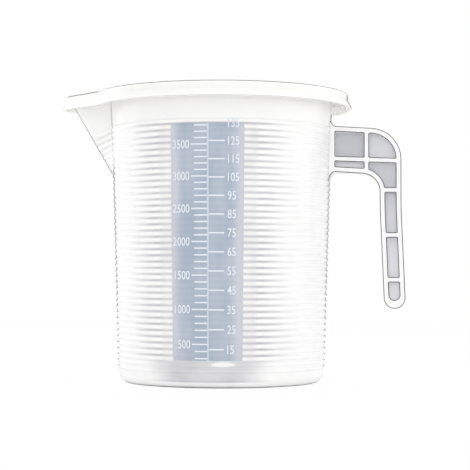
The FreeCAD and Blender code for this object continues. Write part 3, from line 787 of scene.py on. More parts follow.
class PolarOutline:
    """Radius of a plan outline about the axis, for a turn from +X."""

    def __init__(self, points):
        pairs = sorted((math.atan2(p.y, p.x) % FULL_TURN, p.length) for p in points)
        first, last = pairs[0], pairs[-1]
        self.pairs = ([(last[0] - FULL_TURN, last[1])] + pairs
                      + [(first[0] + FULL_TURN, first[1])])

    def radius(self, turn):
        low, high = 0, len(self.pairs) - 1
        while high - low > 1:
            middle = (low + high) // 2
            if self.pairs[middle][0] <= turn:
                low = middle
            else:
                high = middle
        (a, from_radius), (b, to_radius) = self.pairs[low], self.pairs[high]
        return from_radius + (to_radius - from_radius) * (turn - a) / (b - a)


# ---- scale window, marks and numerals --------------------------------------------------------

def build_scale_window(jug, scale):
    """The smooth stretch of wall behind the scales, as thick as wall and rib together."""
    half = window_half_angle(jug)
    gap_turn = scale.seam / wall_radius(jug, WINDOW_LOW.z)
    left, right = -half + gap_turn, half - gap_turn
    low, high = WINDOW_LOW.z + scale.seam, WINDOW_HIGH.z - scale.seam
    edge = scale.edge
    edge_turn = edge / wall_radius(jug, low)

    def with_edges(start, end, size, count):
        return [start, start + size * EDGE_STEP, start + size, *between(start, end, count)[1:-1],
                end - size, end - size * EDGE_STEP, end]

    turns = with_edges(left, right, edge_turn, WINDOW_COLUMNS)
    heights = with_edges(low, high, edge, WINDOW_ROWS)

    def point(turn, z, proud):
        return polar(wall_radius(jug, z) + proud, WINDOW_TURN + turn, z)

    def face_drop(position, start, end, size):
        away = min(position - start, end - position) / size
        return 0.0 if away >= 1.0 else edge * (1 - math.sqrt(max(0.0, 1 - (1 - away) ** 2)))

    points, faces = [], []
    wide = len(turns)
    for z in heights:
        for turn in turns:
            drop = max(face_drop(turn, left, right, edge_turn), face_drop(z, low, high, edge))
            points.append(point(turn, z, jug.rib_height - drop))
    back = len(points)
    points += [point(turn, z, -jug.wall) for z in heights for turn in turns]
    for j in range(len(heights) - 1):
        for i in range(wide - 1):
            a = j * wide + i
            faces.append((a, a + 1, a + wide + 1, a + wide))
            b = back + a
            faces.append((b, b + wide, b + wide + 1, b + 1))
    for j in range(len(heights) - 1):
        a, b = j * wide, j * wide + wide - 1
        faces.append((a, a + wide, back + a + wide, back + a))
        faces.append((b, back + b, back + b + wide, b + wide))
    top = (len(heights) - 1) * wide
    for i in range(wide - 1):
        faces.append((i, back + i, back + i + 1, i + 1))
        faces.append((top + i, top + i + 1, back + top + i + 1, back + top + i))
    material = polished_polypropylene(scale, jug.rib_pitch)
    piece = make_object("scale_window_pane", points, faces, material)
    margin = [smooth_step((abs(turn) / half - MARGIN_START) / MARGIN_FADE) for turn in turns]
    set_milkiness(piece, margin * len(heights) * 2)
    sharpen(piece, 50)
    return piece


def fill_height(jug, litres):
    """Height of the level at a volume, found by halving the range."""
    foot, rise = floor_dome(jug)
    base = wall_radius(jug, jug.floor_edge) - jug.wall
    dome = math.pi * rise / 6 * (3 * foot ** 2 + rise ** 2)
    corner = (1 - math.pi / 4) * jug.floor_corner ** 2 * FULL_TURN * base

    def volume(z):
        top = wall_radius(jug, z) - jug.wall
        plug = math.pi / 3 * (z - jug.floor_edge) * (base ** 2 + base * top + top ** 2)
        return (plug - dome - corner) / LITRE

    low, high = jug.floor_edge, RIM_Z
    for _ in range(HALVINGS):
        middle = (low + high) / 2
        if volume(middle) < litres:
            low = middle
        else:
            high = middle
    return (low + high) / 2


def numeral_mesh(text, digit_height, stretch, depth):
    """Mesh of a number that stands digit_height tall, with its left foot at the origin."""
    curve = bpy.data.curves.new(text, "FONT")
    curve.body = text
    curve.extrude = 0.02    # any depth does, as the mesh is scaled to its own below
    curve.offset = NUMERAL_WEIGHT
    curve.resolution_u = 3
    mesh = curve_mesh(curve)
    low = Vector(map(min, zip(*(v.co for v in mesh.vertices))))
    high = Vector(map(max, zip(*(v.co for v in mesh.vertices))))
    scale = digit_height / (high.y - low.y)
    for vertex in mesh.vertices:
        x, y, z = vertex.co - low
        vertex.co = (x * scale * stretch, y * scale, z / (high.z - low.z) * depth)
    return mesh, (high.x - low.x) * scale * stretch


def build_numerals(jug, scale, name, labels, right_aligned, anchor):
    """Raised numbers beside one scale, bent onto the window."""
    points, faces = [], []
    for text, height in labels:
        sunk = jug.rib_height if height + scale.digit_height / 2 > WINDOW_HIGH.z else 0.0
        mesh, width = numeral_mesh(text, scale.digit_height, scale.digit_stretch,
                                   scale.mark_height + sunk)
        start = len(points)
        for vertex in mesh.vertices:
            z = height - scale.digit_height / 2 + vertex.co.y
            radius = wall_radius(jug, z) + jug.rib_height - sunk
            x = vertex.co.x - (width if right_aligned else 0.0)
            points.append(polar(radius + vertex.co.z, WINDOW_TURN + anchor + x / radius, z))
        faces += [tuple(start + v for v in p.vertices) for p in mesh.polygons]
        bpy.data.meshes.remove(mesh)
    piece = make_object(name, points, faces, frosted_marks("frosted_marks", scale.marks))
    sharpen(piece, 30)
    return piece


# ---- handle --------------------------------------------------------------------------------

def rounded_outline(corners, inset=0.0):
    """Points of an outline through (x, z, radius) corners, which run anticlockwise."""
    count, moved = len(corners), []
    for i, (x, z, radius) in enumerate(corners):
        here = Vector((x, z))
        before = (here - Vector(corners[i - 1][:2])).normalized()
        after = (Vector(corners[(i + 1) % count][:2]) - here).normalized()
        turn = before.x * after.y - before.y * after.x
        inward = (Vector((-before.y, before.x)) + Vector((-after.y, after.x)))
        inward = inward.normalized() * inset / math.cos(before.angle(after) / 2)
        new_radius = radius - inset if turn > 0 else radius + inset
        moved.append((here + inward, max(new_radius, 0.0) if radius else 0.0))
    points = []
    for i, (here, radius) in enumerate(moved):
        if not radius:
            points.append(here)
            continue
        to_before = (moved[i - 1][0] - here).normalized()
        to_after = (moved[(i + 1) % count][0] - here).normalized()
        half = to_before.angle(to_after) / 2
        centre = here + (to_before + to_after).normalized() * (radius / math.sin(half))
        start = here + to_before * (radius / math.tan(half)) - centre
        end = here + to_after * (radius / math.tan(half)) - centre
        sweep = start.angle_signed(end)
        steps = max(2, math.ceil(abs(sweep) / CURVE_STEP))
        for a in arc_steps(0.0, sweep, steps):
            points.append(centre + Matrix.Rotation(-a, 2) @ start)
    return points


def clip(points, origin, direction):
    """The part of an outline to the left of a line."""
    kept = []
    side = [direction.cross(p - origin) for p in points]
    for i, point in enumerate(points):
        j = (i + 1) % len(points)
        if side[i] >= 0:
            kept.append(point)
        if (side[i] >= 0) != (side[j] >= 0):
            kept.append(point.lerp(points[j], side[i] / (side[i] - side[j])))
    return kept


def soften(points, radius):
    """An outline with its sharp corners rounded."""
    softened, count = [], len(points)
    for i, here in enumerate(points):
        to_before = points[i - 1] - here
        to_after = points[(i + 1) % count] - here
        if min(to_before.length, to_after.length) < TINY:
            continue
        opening = to_before.angle(to_after)
        reach = radius / math.tan(opening / 2)
        if opening > FLATTEST or reach > min(to_before.length, to_after.length):
            softened.append(here)
            continue
        start = here + to_before.normalized() * reach
        end = here + to_after.normalized() * reach
        for share in (0.0, 0.25, 0.5, 0.75, 1.0):
            softened.append(start.lerp(here, share).lerp(here.lerp(end, share), share))
    return softened


def handle_corners(jug, handle, end):
    """Corners of the handle's outline down to a height, anticlockwise in X and Z."""
    arm_top = RIM_Z - handle.arm_drop
    wall = wall_radius(jug, arm_top)
    flare_x = wall + handle.flare_run
    outer = wall + handle.grip_reach
    inner = outer - handle.grip_width
    bend = arm_top - handle.grip_bend_drop
    root_low = arm_top - handle.arm_depth - handle.flare_bottom
    root_high = arm_top + handle.flare_top
    root_x = wall_radius(jug, root_low) - handle.root_depth
    end_radius = handle.grip_width / 2 - END_FLAT
    foot_x = wall_radius(jug, root_low)

    def arm(x, drop=0.0):
        return arm_top - handle.arm_slope * (x - flare_x) - drop

    def grip(x, z):
        return x + handle.grip_slope * (bend - z)

    return [
        (root_x, root_high, 0), (root_x, root_low, 0),
        *((foot_x + handle.flare_under * (1 - math.cos(t)),
           root_low + (arm(foot_x + handle.flare_under, handle.arm_depth) - root_low) * math.sin(t),
           0) for t in arc_steps(0.0, math.pi / 2, QUARTER_STEPS)),
        (inner, arm(inner, handle.arm_depth), handle.finger),
        (inner, bend, handle.grip_bend),
        (grip(inner, end), end, end_radius), (grip(outer, end), end, end_radius),
        (outer, bend, handle.grip_bend),
        (outer, arm(outer), handle.shoulder),
        (flare_x, arm_top, handle.flare_radius),
        (wall_radius(jug, root_high), root_high, 0)]


def handle_pockets(jug, handle):
    """Outline of each pocket between the rail and the cross ribs."""
    arm_top = RIM_Z - handle.arm_drop
    wall = wall_radius(jug, arm_top)
    half = handle.bar / 2
    right, up = Vector((1.0, 0.0)), Vector((0.0, 1.0))
    along = Vector((1.0, -handle.arm_bar_slope)).normalized()
    start_x = wall + handle.pocket_start
    bar_x = wall + handle.arm_bar_run
    bar_z = arm_top + handle.arm_bar_slope * handle.flare_run - handle.arm_bar_drop
    end = RAIL_LOW.z + handle.end_wall - handle.rail
    inside = clip(rounded_outline(handle_corners(jug, handle, end), handle.rail),
                  Vector((start_x, 0.0)), -up)
    above = clip(inside, Vector((wall, bar_z + half)), along)
    below = clip(inside, Vector((wall, bar_z - half)), -along)
    grip_bars = [arm_top - drop for drop in GRIP_BAR_DROPS]
    lower_arm = clip(below, Vector((0.0, grip_bars[0] + half)), right)
    pockets = [
        clip(above, Vector((bar_x - half, 0.0)), up),
        clip(above, Vector((bar_x + half, 0.0)), -up),
        clip(lower_arm, Vector((bar_x - half, 0.0)), up),
        clip(lower_arm, Vector((bar_x + half, 0.0)), -up)]
    for i, z in enumerate(grip_bars):
        part = clip(below, Vector((0.0, z - half)), -right)
        if i + 1 < len(grip_bars):
            part = clip(part, Vector((0.0, grip_bars[i + 1] + half)), right)
        pockets.append(part)
    return pockets


def plate(name, outlines, thickness, edge, material):
    """Flat plate with holes in the plane Y = 0, its edges rounded."""
    curve = bpy.data.curves.new(name, "CURVE")
    curve.dimensions = "2D"
    curve.fill_mode = "BOTH"
    curve.extrude = thickness / 2 - edge
    curve.bevel_depth = edge
    curve.bevel_resolution = 2
    curve.offset = -edge
    for outline in outlines:
        spline = curve.splines.new("POLY")
        spline.points.add(len(outline) - 1)
        for point, place in zip(spline.points, outline):
            point.co = (place.x, place.y, 0.0, 1.0)
        spline.use_cyclic_u = True
    mesh = curve_mesh(curve)
    mesh.transform(Matrix.Rotation(math.pi / 2, 4, "X"))
    piece = smooth_object(name, mesh, material)
    sharpen(piece, 35)
    return piece


def build_handle(jug, handle):
    """The open hook: rail and cross ribs as one frame, and the web in its pockets."""
    pockets = [soften(p, handle.pocket_corner) for p in handle_pockets(jug, handle)]
    outline = rounded_outline(handle_corners(jug, handle, RAIL_LOW.z))
    hoop = plate("handle_frame", [outline] + pockets, HANDLE_DEPTH, handle.edge,
                 solid_polypropylene("solid_polypropylene", handle.plastic))
    # Painted shade: dark lines along the frame's rounded edges
    line_edges(hoop, moulded_edge("natural_edge", jug.edges),
               lambda place, normal: FRAME_LINE[0] < abs(normal.y) < FRAME_LINE[1])
    for vertex in hoop.data.vertices:
        wall = wall_radius(jug, vertex.co.z) + FRAME_GAP
        vertex.co.x = max(vertex.co.x, math.sqrt(wall ** 2 - vertex.co.y ** 2))
    web = plate("handle_webs", pockets, WEB_THICKNESS, 0.0, web_polypropylene(handle))
    bar_x = wall_radius(jug, RIM_Z - handle.arm_drop) + handle.arm_bar_run
    bar_z = RIM_Z - handle.arm_drop - handle.arm_bar_drop

    def web_milkiness(place):
        if place.z < bar_z and place.x < bar_x:
            return THICK
        corner = WEB_CORNER if place.z > bar_z and place.x > bar_x else 0.0
        return (WEB_HIGH.z - place.z) / (WEB_HIGH.z - WEB_LOW.z) + corner

    set_milkiness(web, [web_milkiness(v.co) for v in web.data.vertices])
    return hoop, web


# ---- lid -----------------------------------------------------------------------------------

def build_lid(lid):
    """The lid as one moulding: panel, rim, beak, stepped skirt, lip, plug ring."""
    top, bottom = CAP_HIGH.z, CAP_LOW.z
    under = RIM_Z + lid.top_gap
    panel, plug = PANEL_HIGH.x, PLUG_HIGH.x
    panel_top, panel_low = PANEL_HIGH.z, PANEL_LOW.z
    step_top = top - lid.step_depth
    step_foot = step_top - lid.step_height
    small = lid.small_edge
    turns = [math.atan2(p.y, p.x) for p in lid_outline(lid, 0.0)]
    rows = []

    def add_rounds(*places):
        for radius, z in places:
            rows.append([polar(radius, a, z) for a in turns])

    def add_outline(offset, z):
        if z < step_top:
            tuck, rise = lid.beak_tuck * max(offset, 0.0) / lid.lip, lid.beak_rise
        else:
            tuck, rise = lid.beak_round * smooth_step((z - top) / (2 * lid.edge) + 1), 0.0
        points = [(p, smooth_step((-p.x - panel) / lid.beak_tip))
                  for p in lid_outline(lid, offset)]
        rows.append([(p.x + tuck * share, p.y, z + rise * share) for p, share in points])

    def add_between(radius, offset, share, z):
        outer = lid_outline(lid, offset)
        rows.append([(radius * math.cos(a) * (1 - share) + p.x * share,
                      radius * math.sin(a) * (1 - share) + p.y * share, z)
                     for a, p in zip(turns, outer)])

    def add_edge(offset, z, size, start, end, count):
        for turn in arc_steps(math.radians(start), math.radians(end), count):
            add_outline(offset + size * math.cos(turn), z + size * math.sin(turn))

    # top, from the middle of the panel to the skirt's upper edge
    rows.append([(0.0, 0.0, panel_top)])
    add_rounds(*((panel * share, panel_top) for share in PANEL_SHARES),
               (panel - 2 * small, panel_top), (panel - 0.5 * small, panel_top + 0.5 * small),
               (panel, panel_top + 2 * small), (panel, top - 2 * small),
               (panel + 0.5 * small, top - 0.5 * small), (panel + 2 * small, top))
    for share in BRIDGE_SHARES:
        add_between(panel + 2 * small, -lid.edge, share, top)
    add_edge(-lid.edge, top - lid.edge, lid.edge, 90, 0, 5)

    # outside of the skirt, round its lip and up its inside
    inner = lid.step - lid.wall
    for offset, z in ((0.0, step_top + STEP_END), (STEP_ROUND, step_top),
                      (lid.step - STEP_ROUND, step_foot),
                      (lid.step + SKIRT_DRAFT, step_foot - STEP_END),
                      (lid.lip - SKIRT_DRAFT, bottom + lid.lip_height + LIP_SLOPE)):
        add_outline(offset, z)
    add_edge(lid.lip - small, bottom + small, small, 0, -90, 4)
    for offset, z in ((inner + small, bottom), (inner, bottom + small),
                      (inner, step_foot - lid.wall), (-lid.wall, step_top - lid.wall),
                      (-lid.wall, under)):
        add_outline(offset, z)

    # underside, round the plug ring and in to the middle of the panel
    for share in reversed(BRIDGE_SHARES):
        add_between(plug, -lid.wall, share, under)
    add_rounds((plug, under), (plug, (under + PLUG_LOW.z) / 2), (plug, PLUG_LOW.z + small),
               (plug - small, PLUG_LOW.z), (panel + small, PLUG_LOW.z),
               (panel, PLUG_LOW.z + small), (panel, panel_low),
               *((panel * share, panel_low) for share in reversed(PANEL_SHARES)))
    rows.append([(0.0, 0.0, panel_low)])
    rows.reverse()
    piece = make_object("lid_shell", *ring_surface(rows),
                        ivory_polypropylene("ivory_polypropylene", lid.plastic))

    # Painted shade: dark lines along the lid's upper edge and round the skirt's foot
    def is_edge(place, normal):
        outside = place.xy.length > panel + 4 * small and place.xy.dot(normal.xy) > 0
        at_top = place.z > top - lid.edge and TOP_LINE[0] < normal.z < TOP_LINE[1]
        at_foot = (place.z < bottom + small and FOOT_LINE[0] < normal.z < FOOT_LINE[1]
                   and place.x > -panel)
        return outside and (at_top or at_foot)

    line_edges(piece, moulded_edge("ivory_edge", lid.edges), is_edge)
    sharpen(piece, 40)
    return piece


# ---- materials -----------------------------------------------------------------------------

def new_tree(name):
    """A new material and its node tree, which starts empty."""
    material = bpy.data.materials.new(name)
    material.use_nodes = True
    material.node_tree.nodes.clear()
    return material, material.node_tree


def add_node(tree, kind, inputs=(), **settings):
    """Adds a node, sets its properties, and sets or links its inputs."""
    made = tree.nodes.new(kind)
    for name, value in settings.items():
        setattr(made, name, value)
    for socket, value in dict(inputs).items():
        if isinstance(value, bpy.types.NodeSocket):
            tree.links.new(value, made.inputs[socket])
        else:
            made.inputs[socket].default_value = value
    return made


def milky(depth):
    """Inputs of the shader for plastic that light enters and leaves again within a depth."""
    return {"Subsurface Weight": 1.0, "Subsurface Radius": (1.0, 1.0, 1.0),
            "Subsurface Scale": depth}


def add_surface(tree, place, base, grain, relief, inputs, detail=2.0):
    """Adds the shader and the output of moulded plastic.

    grain is the size of the bumps that the mould leaves, and relief their strength and depth. A
    satin mould's own grain is finer than half a millimetre and is drawn coarser, so that it
    shows."""
    noise = add_node(tree, "ShaderNodeTexNoise",
                     {"Vector": place, "Scale": 1 / grain, "Detail": detail})
    strength, depth = relief
    bump = add_node(tree, "ShaderNodeBump", {"Strength": strength, "Distance": depth,
                                             "Height": noise.outputs["Fac"]})
    shader = add_node(tree, "ShaderNodeBsdfPrincipled", {
        "Base Color": base, "IOR": PLASTIC_IOR, "Normal": bump.outputs["Normal"], **inputs})
    add_node(tree, "ShaderNodeOutputMaterial", {"Surface": shader.outputs["BSDF"]})


def natural_polypropylene(jug):
    """Natural polypropylene, injection moulded: milky, with a soft shine.

    The milkiness of a piece's points gives its colour: 1 where the plastic is thick and scatters
    most light; 0 where it is thin or smooth, a grey that is partly painted shade of the dim inside
    seen through it; -1 at its edges, a painted dark line of shade. The wall's sides are painted
    whiter, a painted highlight. Clouds left by the flow of the melt vary it."""
    material, tree = new_tree("natural_polypropylene")
    place = add_node(tree, "ShaderNodeTexCoord").outputs["Object"]
    given = add_node(tree, "ShaderNodeAttribute", attribute_name="milkiness").outputs["Fac"]
    clouds = add_node(tree, "ShaderNodeTexNoise", {"Vector": place, "Scale": 1 / (25 * MM)})
    flow = add_node(tree, "ShaderNodeMapRange", {
        "Value": clouds.outputs["Fac"], "From Min": 0.35, "From Max": 0.65, "To Min": -0.06,
        "To Max": 0.14})
    milkiness = add_node(tree, "ShaderNodeMath", {0: given, 1: flow.outputs[0]},
                         operation="ADD").outputs[0]
    clear = add_node(tree, "ShaderNodeMapRange", {"Value": milkiness, "From Min": EDGE_SHADE,
                                                  "From Max": 0.0})
    thin = add_node(tree, "ShaderNodeMix", {0: clear.outputs[0], 6: jug.edges, 7: jug.clear},
                    data_type="RGBA")
    base = add_node(tree, "ShaderNodeMix", {0: milkiness, 6: thin.outputs[2], 7: jug.plastic},
                    data_type="RGBA")
    add_surface(tree, place, base.outputs[2], 1.5 * MM, (0.08, 0.05 * MM),
                {"Roughness": 0.1, **milky(0.5 * MM)})
    return material


def polished_polypropylene(scale, pitch):
    """Natural polypropylene against a polished stretch of the mould, nearly clear and glossy.

    The milkiness of its points is 1 beside its upright edges, where it thickens. Paler upright
    streaks on it are painted reflections, and the far wall's ribs show through it faintly."""
    material, tree = new_tree("polished_polypropylene")
    place = add_node(tree, "ShaderNodeTexCoord").outputs["Object"]
    given = add_node(tree, "ShaderNodeAttribute", attribute_name="milkiness").outputs["Fac"]
    # Painted reflections: paler upright streaks
    upright = add_node(tree, "ShaderNodeVectorMath", {0: place, 1: (1.0, 1.0, 0.3)},
                       operation="MULTIPLY").outputs["Vector"]
    reflections = add_node(tree, "ShaderNodeTexNoise", {"Vector": upright, "Scale": 1 / (14 * MM)})
    reflection = add_node(tree, "ShaderNodeMapRange", {
        "Value": reflections.outputs["Fac"], "From Min": 0.4, "From Max": 0.65,
        "To Max": REFLECTION_SHARE})
    bands = add_node(tree, "ShaderNodeTexWave", {
        "Vector": place, "Scale": FULL_TURN / (WAVE_RADIANS * pitch), "Distortion": 1.0,
        "Detail Scale": 2.0}, bands_direction="Z")
    ribs = add_node(tree, "ShaderNodeMath", {0: bands.outputs["Fac"], 1: FAR_RIB_SHARE},
                    operation="MULTIPLY")
    reflections_and_ribs = add_node(tree, "ShaderNodeMath", {0: reflection.outputs[0], 1: ribs.outputs[0]},
                       operation="ADD")
    share = add_node(tree, "ShaderNodeMath", {0: given, 1: reflections_and_ribs.outputs[0]},
                     operation="ADD", use_clamp=True)
    base = add_node(tree, "ShaderNodeMix", {0: share.outputs[0], 6: scale.window,
                                            7: scale.window_side}, data_type="RGBA")
    add_surface(tree, place, base.outputs[2], 12 * MM, (0.1, 0.1 * MM),
                {"Roughness": 0.12, "Transmission Weight": 0.25}, detail=1.0)
    return material


def web_polypropylene(handle):
    """Natural polypropylene as a thin web, greyer than the thick rail partly because it is clearer
    and partly as painted shade of the pockets.

    The milkiness of its points rises from 0 at the arm's top to 1 at the grip's lower end. It
    is 1 in the arm's lower pocket beside the wall, and higher in its outer upper one."""
    material, tree = new_tree("web_polypropylene")
    place = add_node(tree, "ShaderNodeTexCoord").outputs["Object"]
    given = add_node(tree, "ShaderNodeAttribute", attribute_name="milkiness").outputs["Fac"]
    base = add_node(tree, "ShaderNodeMix", {0: given, 6: handle.web, 7: handle.web_end},
                    data_type="RGBA")
    add_surface(tree, place, base.outputs[2], 4 * MM, (0.1, 0.05 * MM), {"Roughness": 0.4})
    return material


def plain_surface(name, base, grain, relief, inputs):
    """Material of moulded plastic in one colour."""
    material, tree = new_tree(name)
    place = add_node(tree, "ShaderNodeTexCoord").outputs["Object"]
    add_surface(tree, place, base, grain, relief, inputs)
    return material


def solid_polypropylene(name, base):
    """Natural polypropylene too thick to see through, moulded with a satin surface."""
    return plain_surface(name, base, 1.5 * MM, (0.08, 0.05 * MM),
                         {"Roughness": 0.35, **milky(0.7 * MM)})


def ivory_polypropylene(name, base):
    """Polypropylene with a little ivory pigment, injection moulded: warm white, softly shiny."""
    return plain_surface(name, base, 0.8 * MM, (0.1, 0.04 * MM),
                         {"Roughness": 0.12, **milky(1.1 * MM)})


def moulded_edge(name, base):
    """A dark line painted on polypropylene at a rounded edge: painted shade for the dim sides of a
    room that the edge refracts.
    """
    return plain_surface(name, base, 1.0 * MM, (0.1, 0.03 * MM),
                         {"Roughness": 0.3, "Transmission Weight": 0.3})


def frosted_marks(name, base):
    """Polypropylene marks that the mould's spark-eroded grooves leave raised and frosted."""
    if name in bpy.data.materials:
        return bpy.data.materials[name]
    return plain_surface(name, base, 0.3 * MM, (0.2, 0.03 * MM), {"Roughness": 0.6})


# ---- studio --------------------------------------------------------------------------------

def build_camera(studio):
    """Camera a little right of the scale window, level with the lower half of the jug."""
    data = bpy.data.cameras.new("camera")
    data.lens = studio.lens
    data.sensor_width = 36.0
    data.clip_end = 20.0
    camera = new_object("camera", data)
    right = Vector((math.cos(studio.azimuth), math.sin(studio.azimuth), 0.0))
    back = Vector((math.sin(studio.azimuth), -math.cos(studio.azimuth), 0.0))
    camera.location = back * studio.distance + right * studio.sideways
    camera.location.z = studio.eye
    camera.rotation_euler = (Matrix.Rotation(studio.azimuth + studio.yaw, 3, "Z")
                             @ Matrix.Rotation(math.pi / 2 + studio.pitch, 3, "X")
                             @ Matrix.Rotation(studio.roll, 3, "Z")).to_euler()
    bpy.context.scene.camera = camera


def build_surround(studio):
    """A surround that the camera sees white and that lights the pitcher softly from all sides.

    Gloss shows two dark cards in it, and transmission a white backdrop with dimmer sides."""
    world = bpy.data.worlds.new("surround")
    bpy.context.scene.world = world
    world.use_nodes = True
    tree = world.node_tree
    tree.nodes.clear()
    rays = add_node(tree, "ShaderNodeLightPath").outputs
    direction = add_node(tree, "ShaderNodeTexCoord").outputs["Generated"]
    axes = add_node(tree, "ShaderNodeSeparateXYZ", {0: direction}).outputs
    around = add_node(tree, "ShaderNodeMapRange", {
        "Value": axes["Y"], "From Min": 0.0, "From Max": -1.0,
        "To Min": studio.surround, "To Max": studio.surround + studio.front})
    backdrop = add_node(tree, "ShaderNodeVectorMath", {0: direction, 1: (0.0, 1.0, 0.0)},
                        operation="DOT_PRODUCT")
    reach = math.cos(studio.backdrop)
    shown = add_node(tree, "ShaderNodeMapRange", {
        "Value": backdrop.outputs["Value"], "From Min": reach - BACKDROP_BLUR,
        "From Max": reach + BACKDROP_BLUR, "To Min": studio.sides, "To Max": 1.0})
    refracted = add_node(tree, "ShaderNodeMix", {0: rays["Is Transmission Ray"],
                                                 2: around.outputs[0], 3: shown.outputs[0]})
    bearing = add_node(tree, "ShaderNodeMath", {0: axes["X"], 1: axes["Y"]},
                       operation="ARCTAN2").outputs[0]
    cards = [add_node(tree, "ShaderNodeMath", {0: bearing, 1: middle, 2: studio.card_half},
                      operation="COMPARE").outputs[0]
             for middle in (studio.left_card, studio.right_card)]
    carded = add_node(tree, "ShaderNodeMath", {0: cards[0], 1: cards[1]}, operation="ADD")
    in_gloss = add_node(tree, "ShaderNodeMath", {0: carded.outputs[0], 1: rays["Is Glossy Ray"]},
                        operation="MULTIPLY")
    unseen = add_node(tree, "ShaderNodeMix", {0: in_gloss.outputs[0], 2: refracted.outputs[0],
                                              3: studio.card})
    strength = add_node(tree, "ShaderNodeMix", {0: rays["Is Camera Ray"],
                                                2: unseen.outputs[0], 3: 1.0})
    soft = add_node(tree, "ShaderNodeBackground", {"Color": (1, 1, 1, 1),
                                                   "Strength": strength.outputs[0]})
    add_node(tree, "ShaderNodeOutputWorld", {"Surface": soft.outputs[0]})


def build_studio(studio):
    """White paper under the pitcher, the surround, and three softboxes."""
    build_surround(studio)
    size = studio.paper
    corners = [(-size, -size, 0), (size, -size, 0), (size, size, 0), (-size, size, 0)]
    material, tree = new_tree("white_paper")
    rays = add_node(tree, "ShaderNodeLightPath").outputs
    diffuse = add_node(tree, "ShaderNodeBsdfDiffuse", {"Color": studio.floor})
    glow = add_node(tree, "ShaderNodeEmission", {"Color": (1, 1, 1, 1), "Strength": 1.0})
    share = add_node(tree, "ShaderNodeMath", {0: rays["Is Camera Ray"], 1: studio.glow},
                     operation="MULTIPLY")
    mix = add_node(tree, "ShaderNodeMixShader", {0: share.outputs[0], 1: diffuse.outputs[0],
                                                 2: glow.outputs[0]})
    add_node(tree, "ShaderNodeOutputMaterial", {"Surface": mix.outputs[0]})
    make_object("studio_floor", corners, [(0, 1, 2, 3)], material)

    for name, place, aim, power, width, in_gloss in LAMPS:
        data = bpy.data.lights.new(name, "AREA")
        data.energy = power
        data.size = width
        lamp = new_object(name, data)
        lamp.location = place
        lamp.visible_glossy = in_gloss
        lamp.rotation_euler = (Vector(aim) - Vector(place)).to_track_quat("-Z", "Y").to_euler()
    bpy.context.scene.view_settings.view_transform = "Standard"


# ---- operators -----------------------------------------------------------------------------

class PITCHER_OT_camera(bpy.types.Operator):
    """Make the camera"""
    bl_idname = "pitcher.camera"
    bl_label = "Camera"

    def execute(self, context):
        build_camera(context.scene.pitcher_studio)
        return {"FINISHED"}


class PITCHER_OT_studio(bpy.types.Operator):
    """Make the floor, the surround and the lamps"""
    bl_idname = "pitcher.studio"
    bl_label = "Studio"

    def execute(self, context):
        build_studio(context.scene.pitcher_studio)
        return {"FINISHED"}


class PITCHER_OT_jug_body(bpy.types.Operator):
    """Make the jug's wall, ribs, spout, floor and rim"""
    bl_idname = "pitcher.jug_body"
    bl_label = "Jug body"

    def execute(self, context):
        scene = context.scene
        piece = build_jug_body(scene.pitcher_jug, scene.pitcher_lid, scene.pitcher_handle)
        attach(piece, "jug")
        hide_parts("vessel_wall", "vessel_floor", "wall_ribs", "pouring_spout",
                    "rim_flange")
        return {"FINISHED"}


class PITCHER_OT_scale_window(bpy.types.Operator):
    """Make the polished window behind the scales"""
    bl_idname = "pitcher.scale_window"
    bl_label = "Scale window"

    def execute(self, context):
        piece = build_scale_window(context.scene.pitcher_jug, context.scene.pitcher_scale)
        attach(piece, "jug")
        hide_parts("scale_window")
        return {"FINISHED"}


class PITCHER_OT_scale_marks(bpy.types.Operator):
    """Finish the raised marks and make the numerals"""
    bl_idname = "pitcher.scale_marks"
    bl_label = "Scale marks"

    def execute(self, context):
        jug, scale = context.scene.pitcher_jug, context.scene.pitcher_scale
        marks = frosted_marks("frosted_marks", scale.marks)
        line = frosted_marks("frosted_line", scale.divider)
        for node, material in (("scale_divider", line), ("ml_graduations", marks),
                               ("oz_graduations", marks)):
            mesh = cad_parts[node].data
            mesh.materials.clear()
            mesh.materials.append(material)
        millilitres = [(str(ml), fill_height(jug, ml / 1000)) for ml in MILLILITRE_LABELS]
        ounces = [(str(oz), fill_height(jug, oz * scale.ounce / 1000)) for oz in OUNCE_LABELS]
        for piece in (
                build_numerals(jug, scale, "millilitre_numerals", millilitres, True,
                               scale.millilitre_right),
                build_numerals(jug, scale, "ounce_numerals", ounces, False, scale.ounce_left)):
            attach(piece, "jug")
        return {"FINISHED"}


class PITCHER_OT_handle(bpy.types.Operator):
    """Make the handle's frame and webs"""
    bl_idname = "pitcher.handle"
    bl_label = "Handle"

    def execute(self, context):
        hoop, web = build_handle(context.scene.pitcher_jug, context.scene.pitcher_handle)
        for piece in (hoop, web):
            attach(piece, "jug")
        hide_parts("handle_rail", "handle_cross_ribs")
        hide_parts("handle_web")
        return {"FINISHED"}


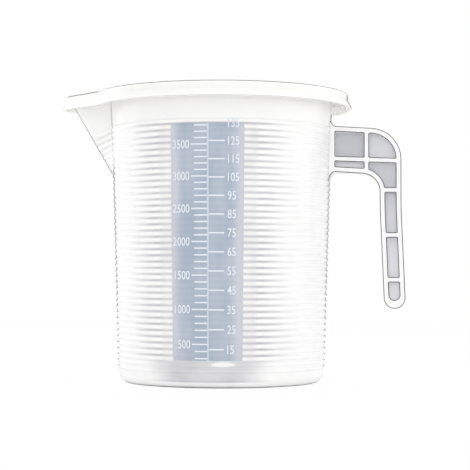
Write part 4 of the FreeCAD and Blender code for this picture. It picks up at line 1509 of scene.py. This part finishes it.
class PITCHER_OT_lid(bpy.types.Operator):
    """Make the lid"""
    bl_idname = "pitcher.lid"
    bl_label = "Lid"

    def execute(self, context):
        piece = build_lid(context.scene.pitcher_lid)
        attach(piece, "lid")
        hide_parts("lid_cap", "lid_panel", "lid_plug_ring", "lid_snap_bead")
        return {"FINISHED"}


OPERATORS = (PITCHER_OT_camera, PITCHER_OT_studio, PITCHER_OT_jug_body, PITCHER_OT_scale_window,
             PITCHER_OT_scale_marks, PITCHER_OT_handle, PITCHER_OT_lid)
SETTINGS = {"pitcher_jug": PitcherJug, "pitcher_scale": PitcherScale,
            "pitcher_handle": PitcherHandle, "pitcher_lid": PitcherLid,
            "pitcher_studio": PitcherStudio}


class PITCHER_PT_panel(bpy.types.Panel):
    """Lists the settings and the operators"""
    bl_idname = "PITCHER_PT_panel"
    bl_label = "Measuring pitcher"
    bl_space_type = "VIEW_3D"
    bl_region_type = "UI"
    bl_category = "Pitcher"

    def draw(self, context):
        for operator in OPERATORS:
            self.layout.operator(operator.bl_idname)
        for name in SETTINGS:
            group = getattr(context.scene, name)
            box = self.layout.box()
            for key in group.bl_rna.properties.keys():
                if key not in ("rna_type", "name"):
                    box.prop(group, key)


def register():
    """Registers the settings, the operators and the panel."""
    for name, group in SETTINGS.items():
        bpy.utils.register_class(group)
        setattr(bpy.types.Scene, name, bpy.props.PointerProperty(type=group))
    for kind in (*OPERATORS, PITCHER_PT_panel):
        bpy.utils.register_class(kind)


def unregister():
    """Takes them all out again."""
    for kind in reversed((*OPERATORS, PITCHER_PT_panel)):
        bpy.utils.unregister_class(kind)
    for name, group in reversed(SETTINGS.items()):
        delattr(bpy.types.Scene, name)
        bpy.utils.unregister_class(group)


def main():
    """Builds the pitcher and its studio."""
    register()
    bpy.ops.pitcher.camera()
    bpy.ops.pitcher.studio()
    bpy.ops.pitcher.jug_body()
    bpy.ops.pitcher.scale_window()
    bpy.ops.pitcher.scale_marks()
    bpy.ops.pitcher.handle()
    bpy.ops.pitcher.lid()


if __name__ == "__main__":
    main()
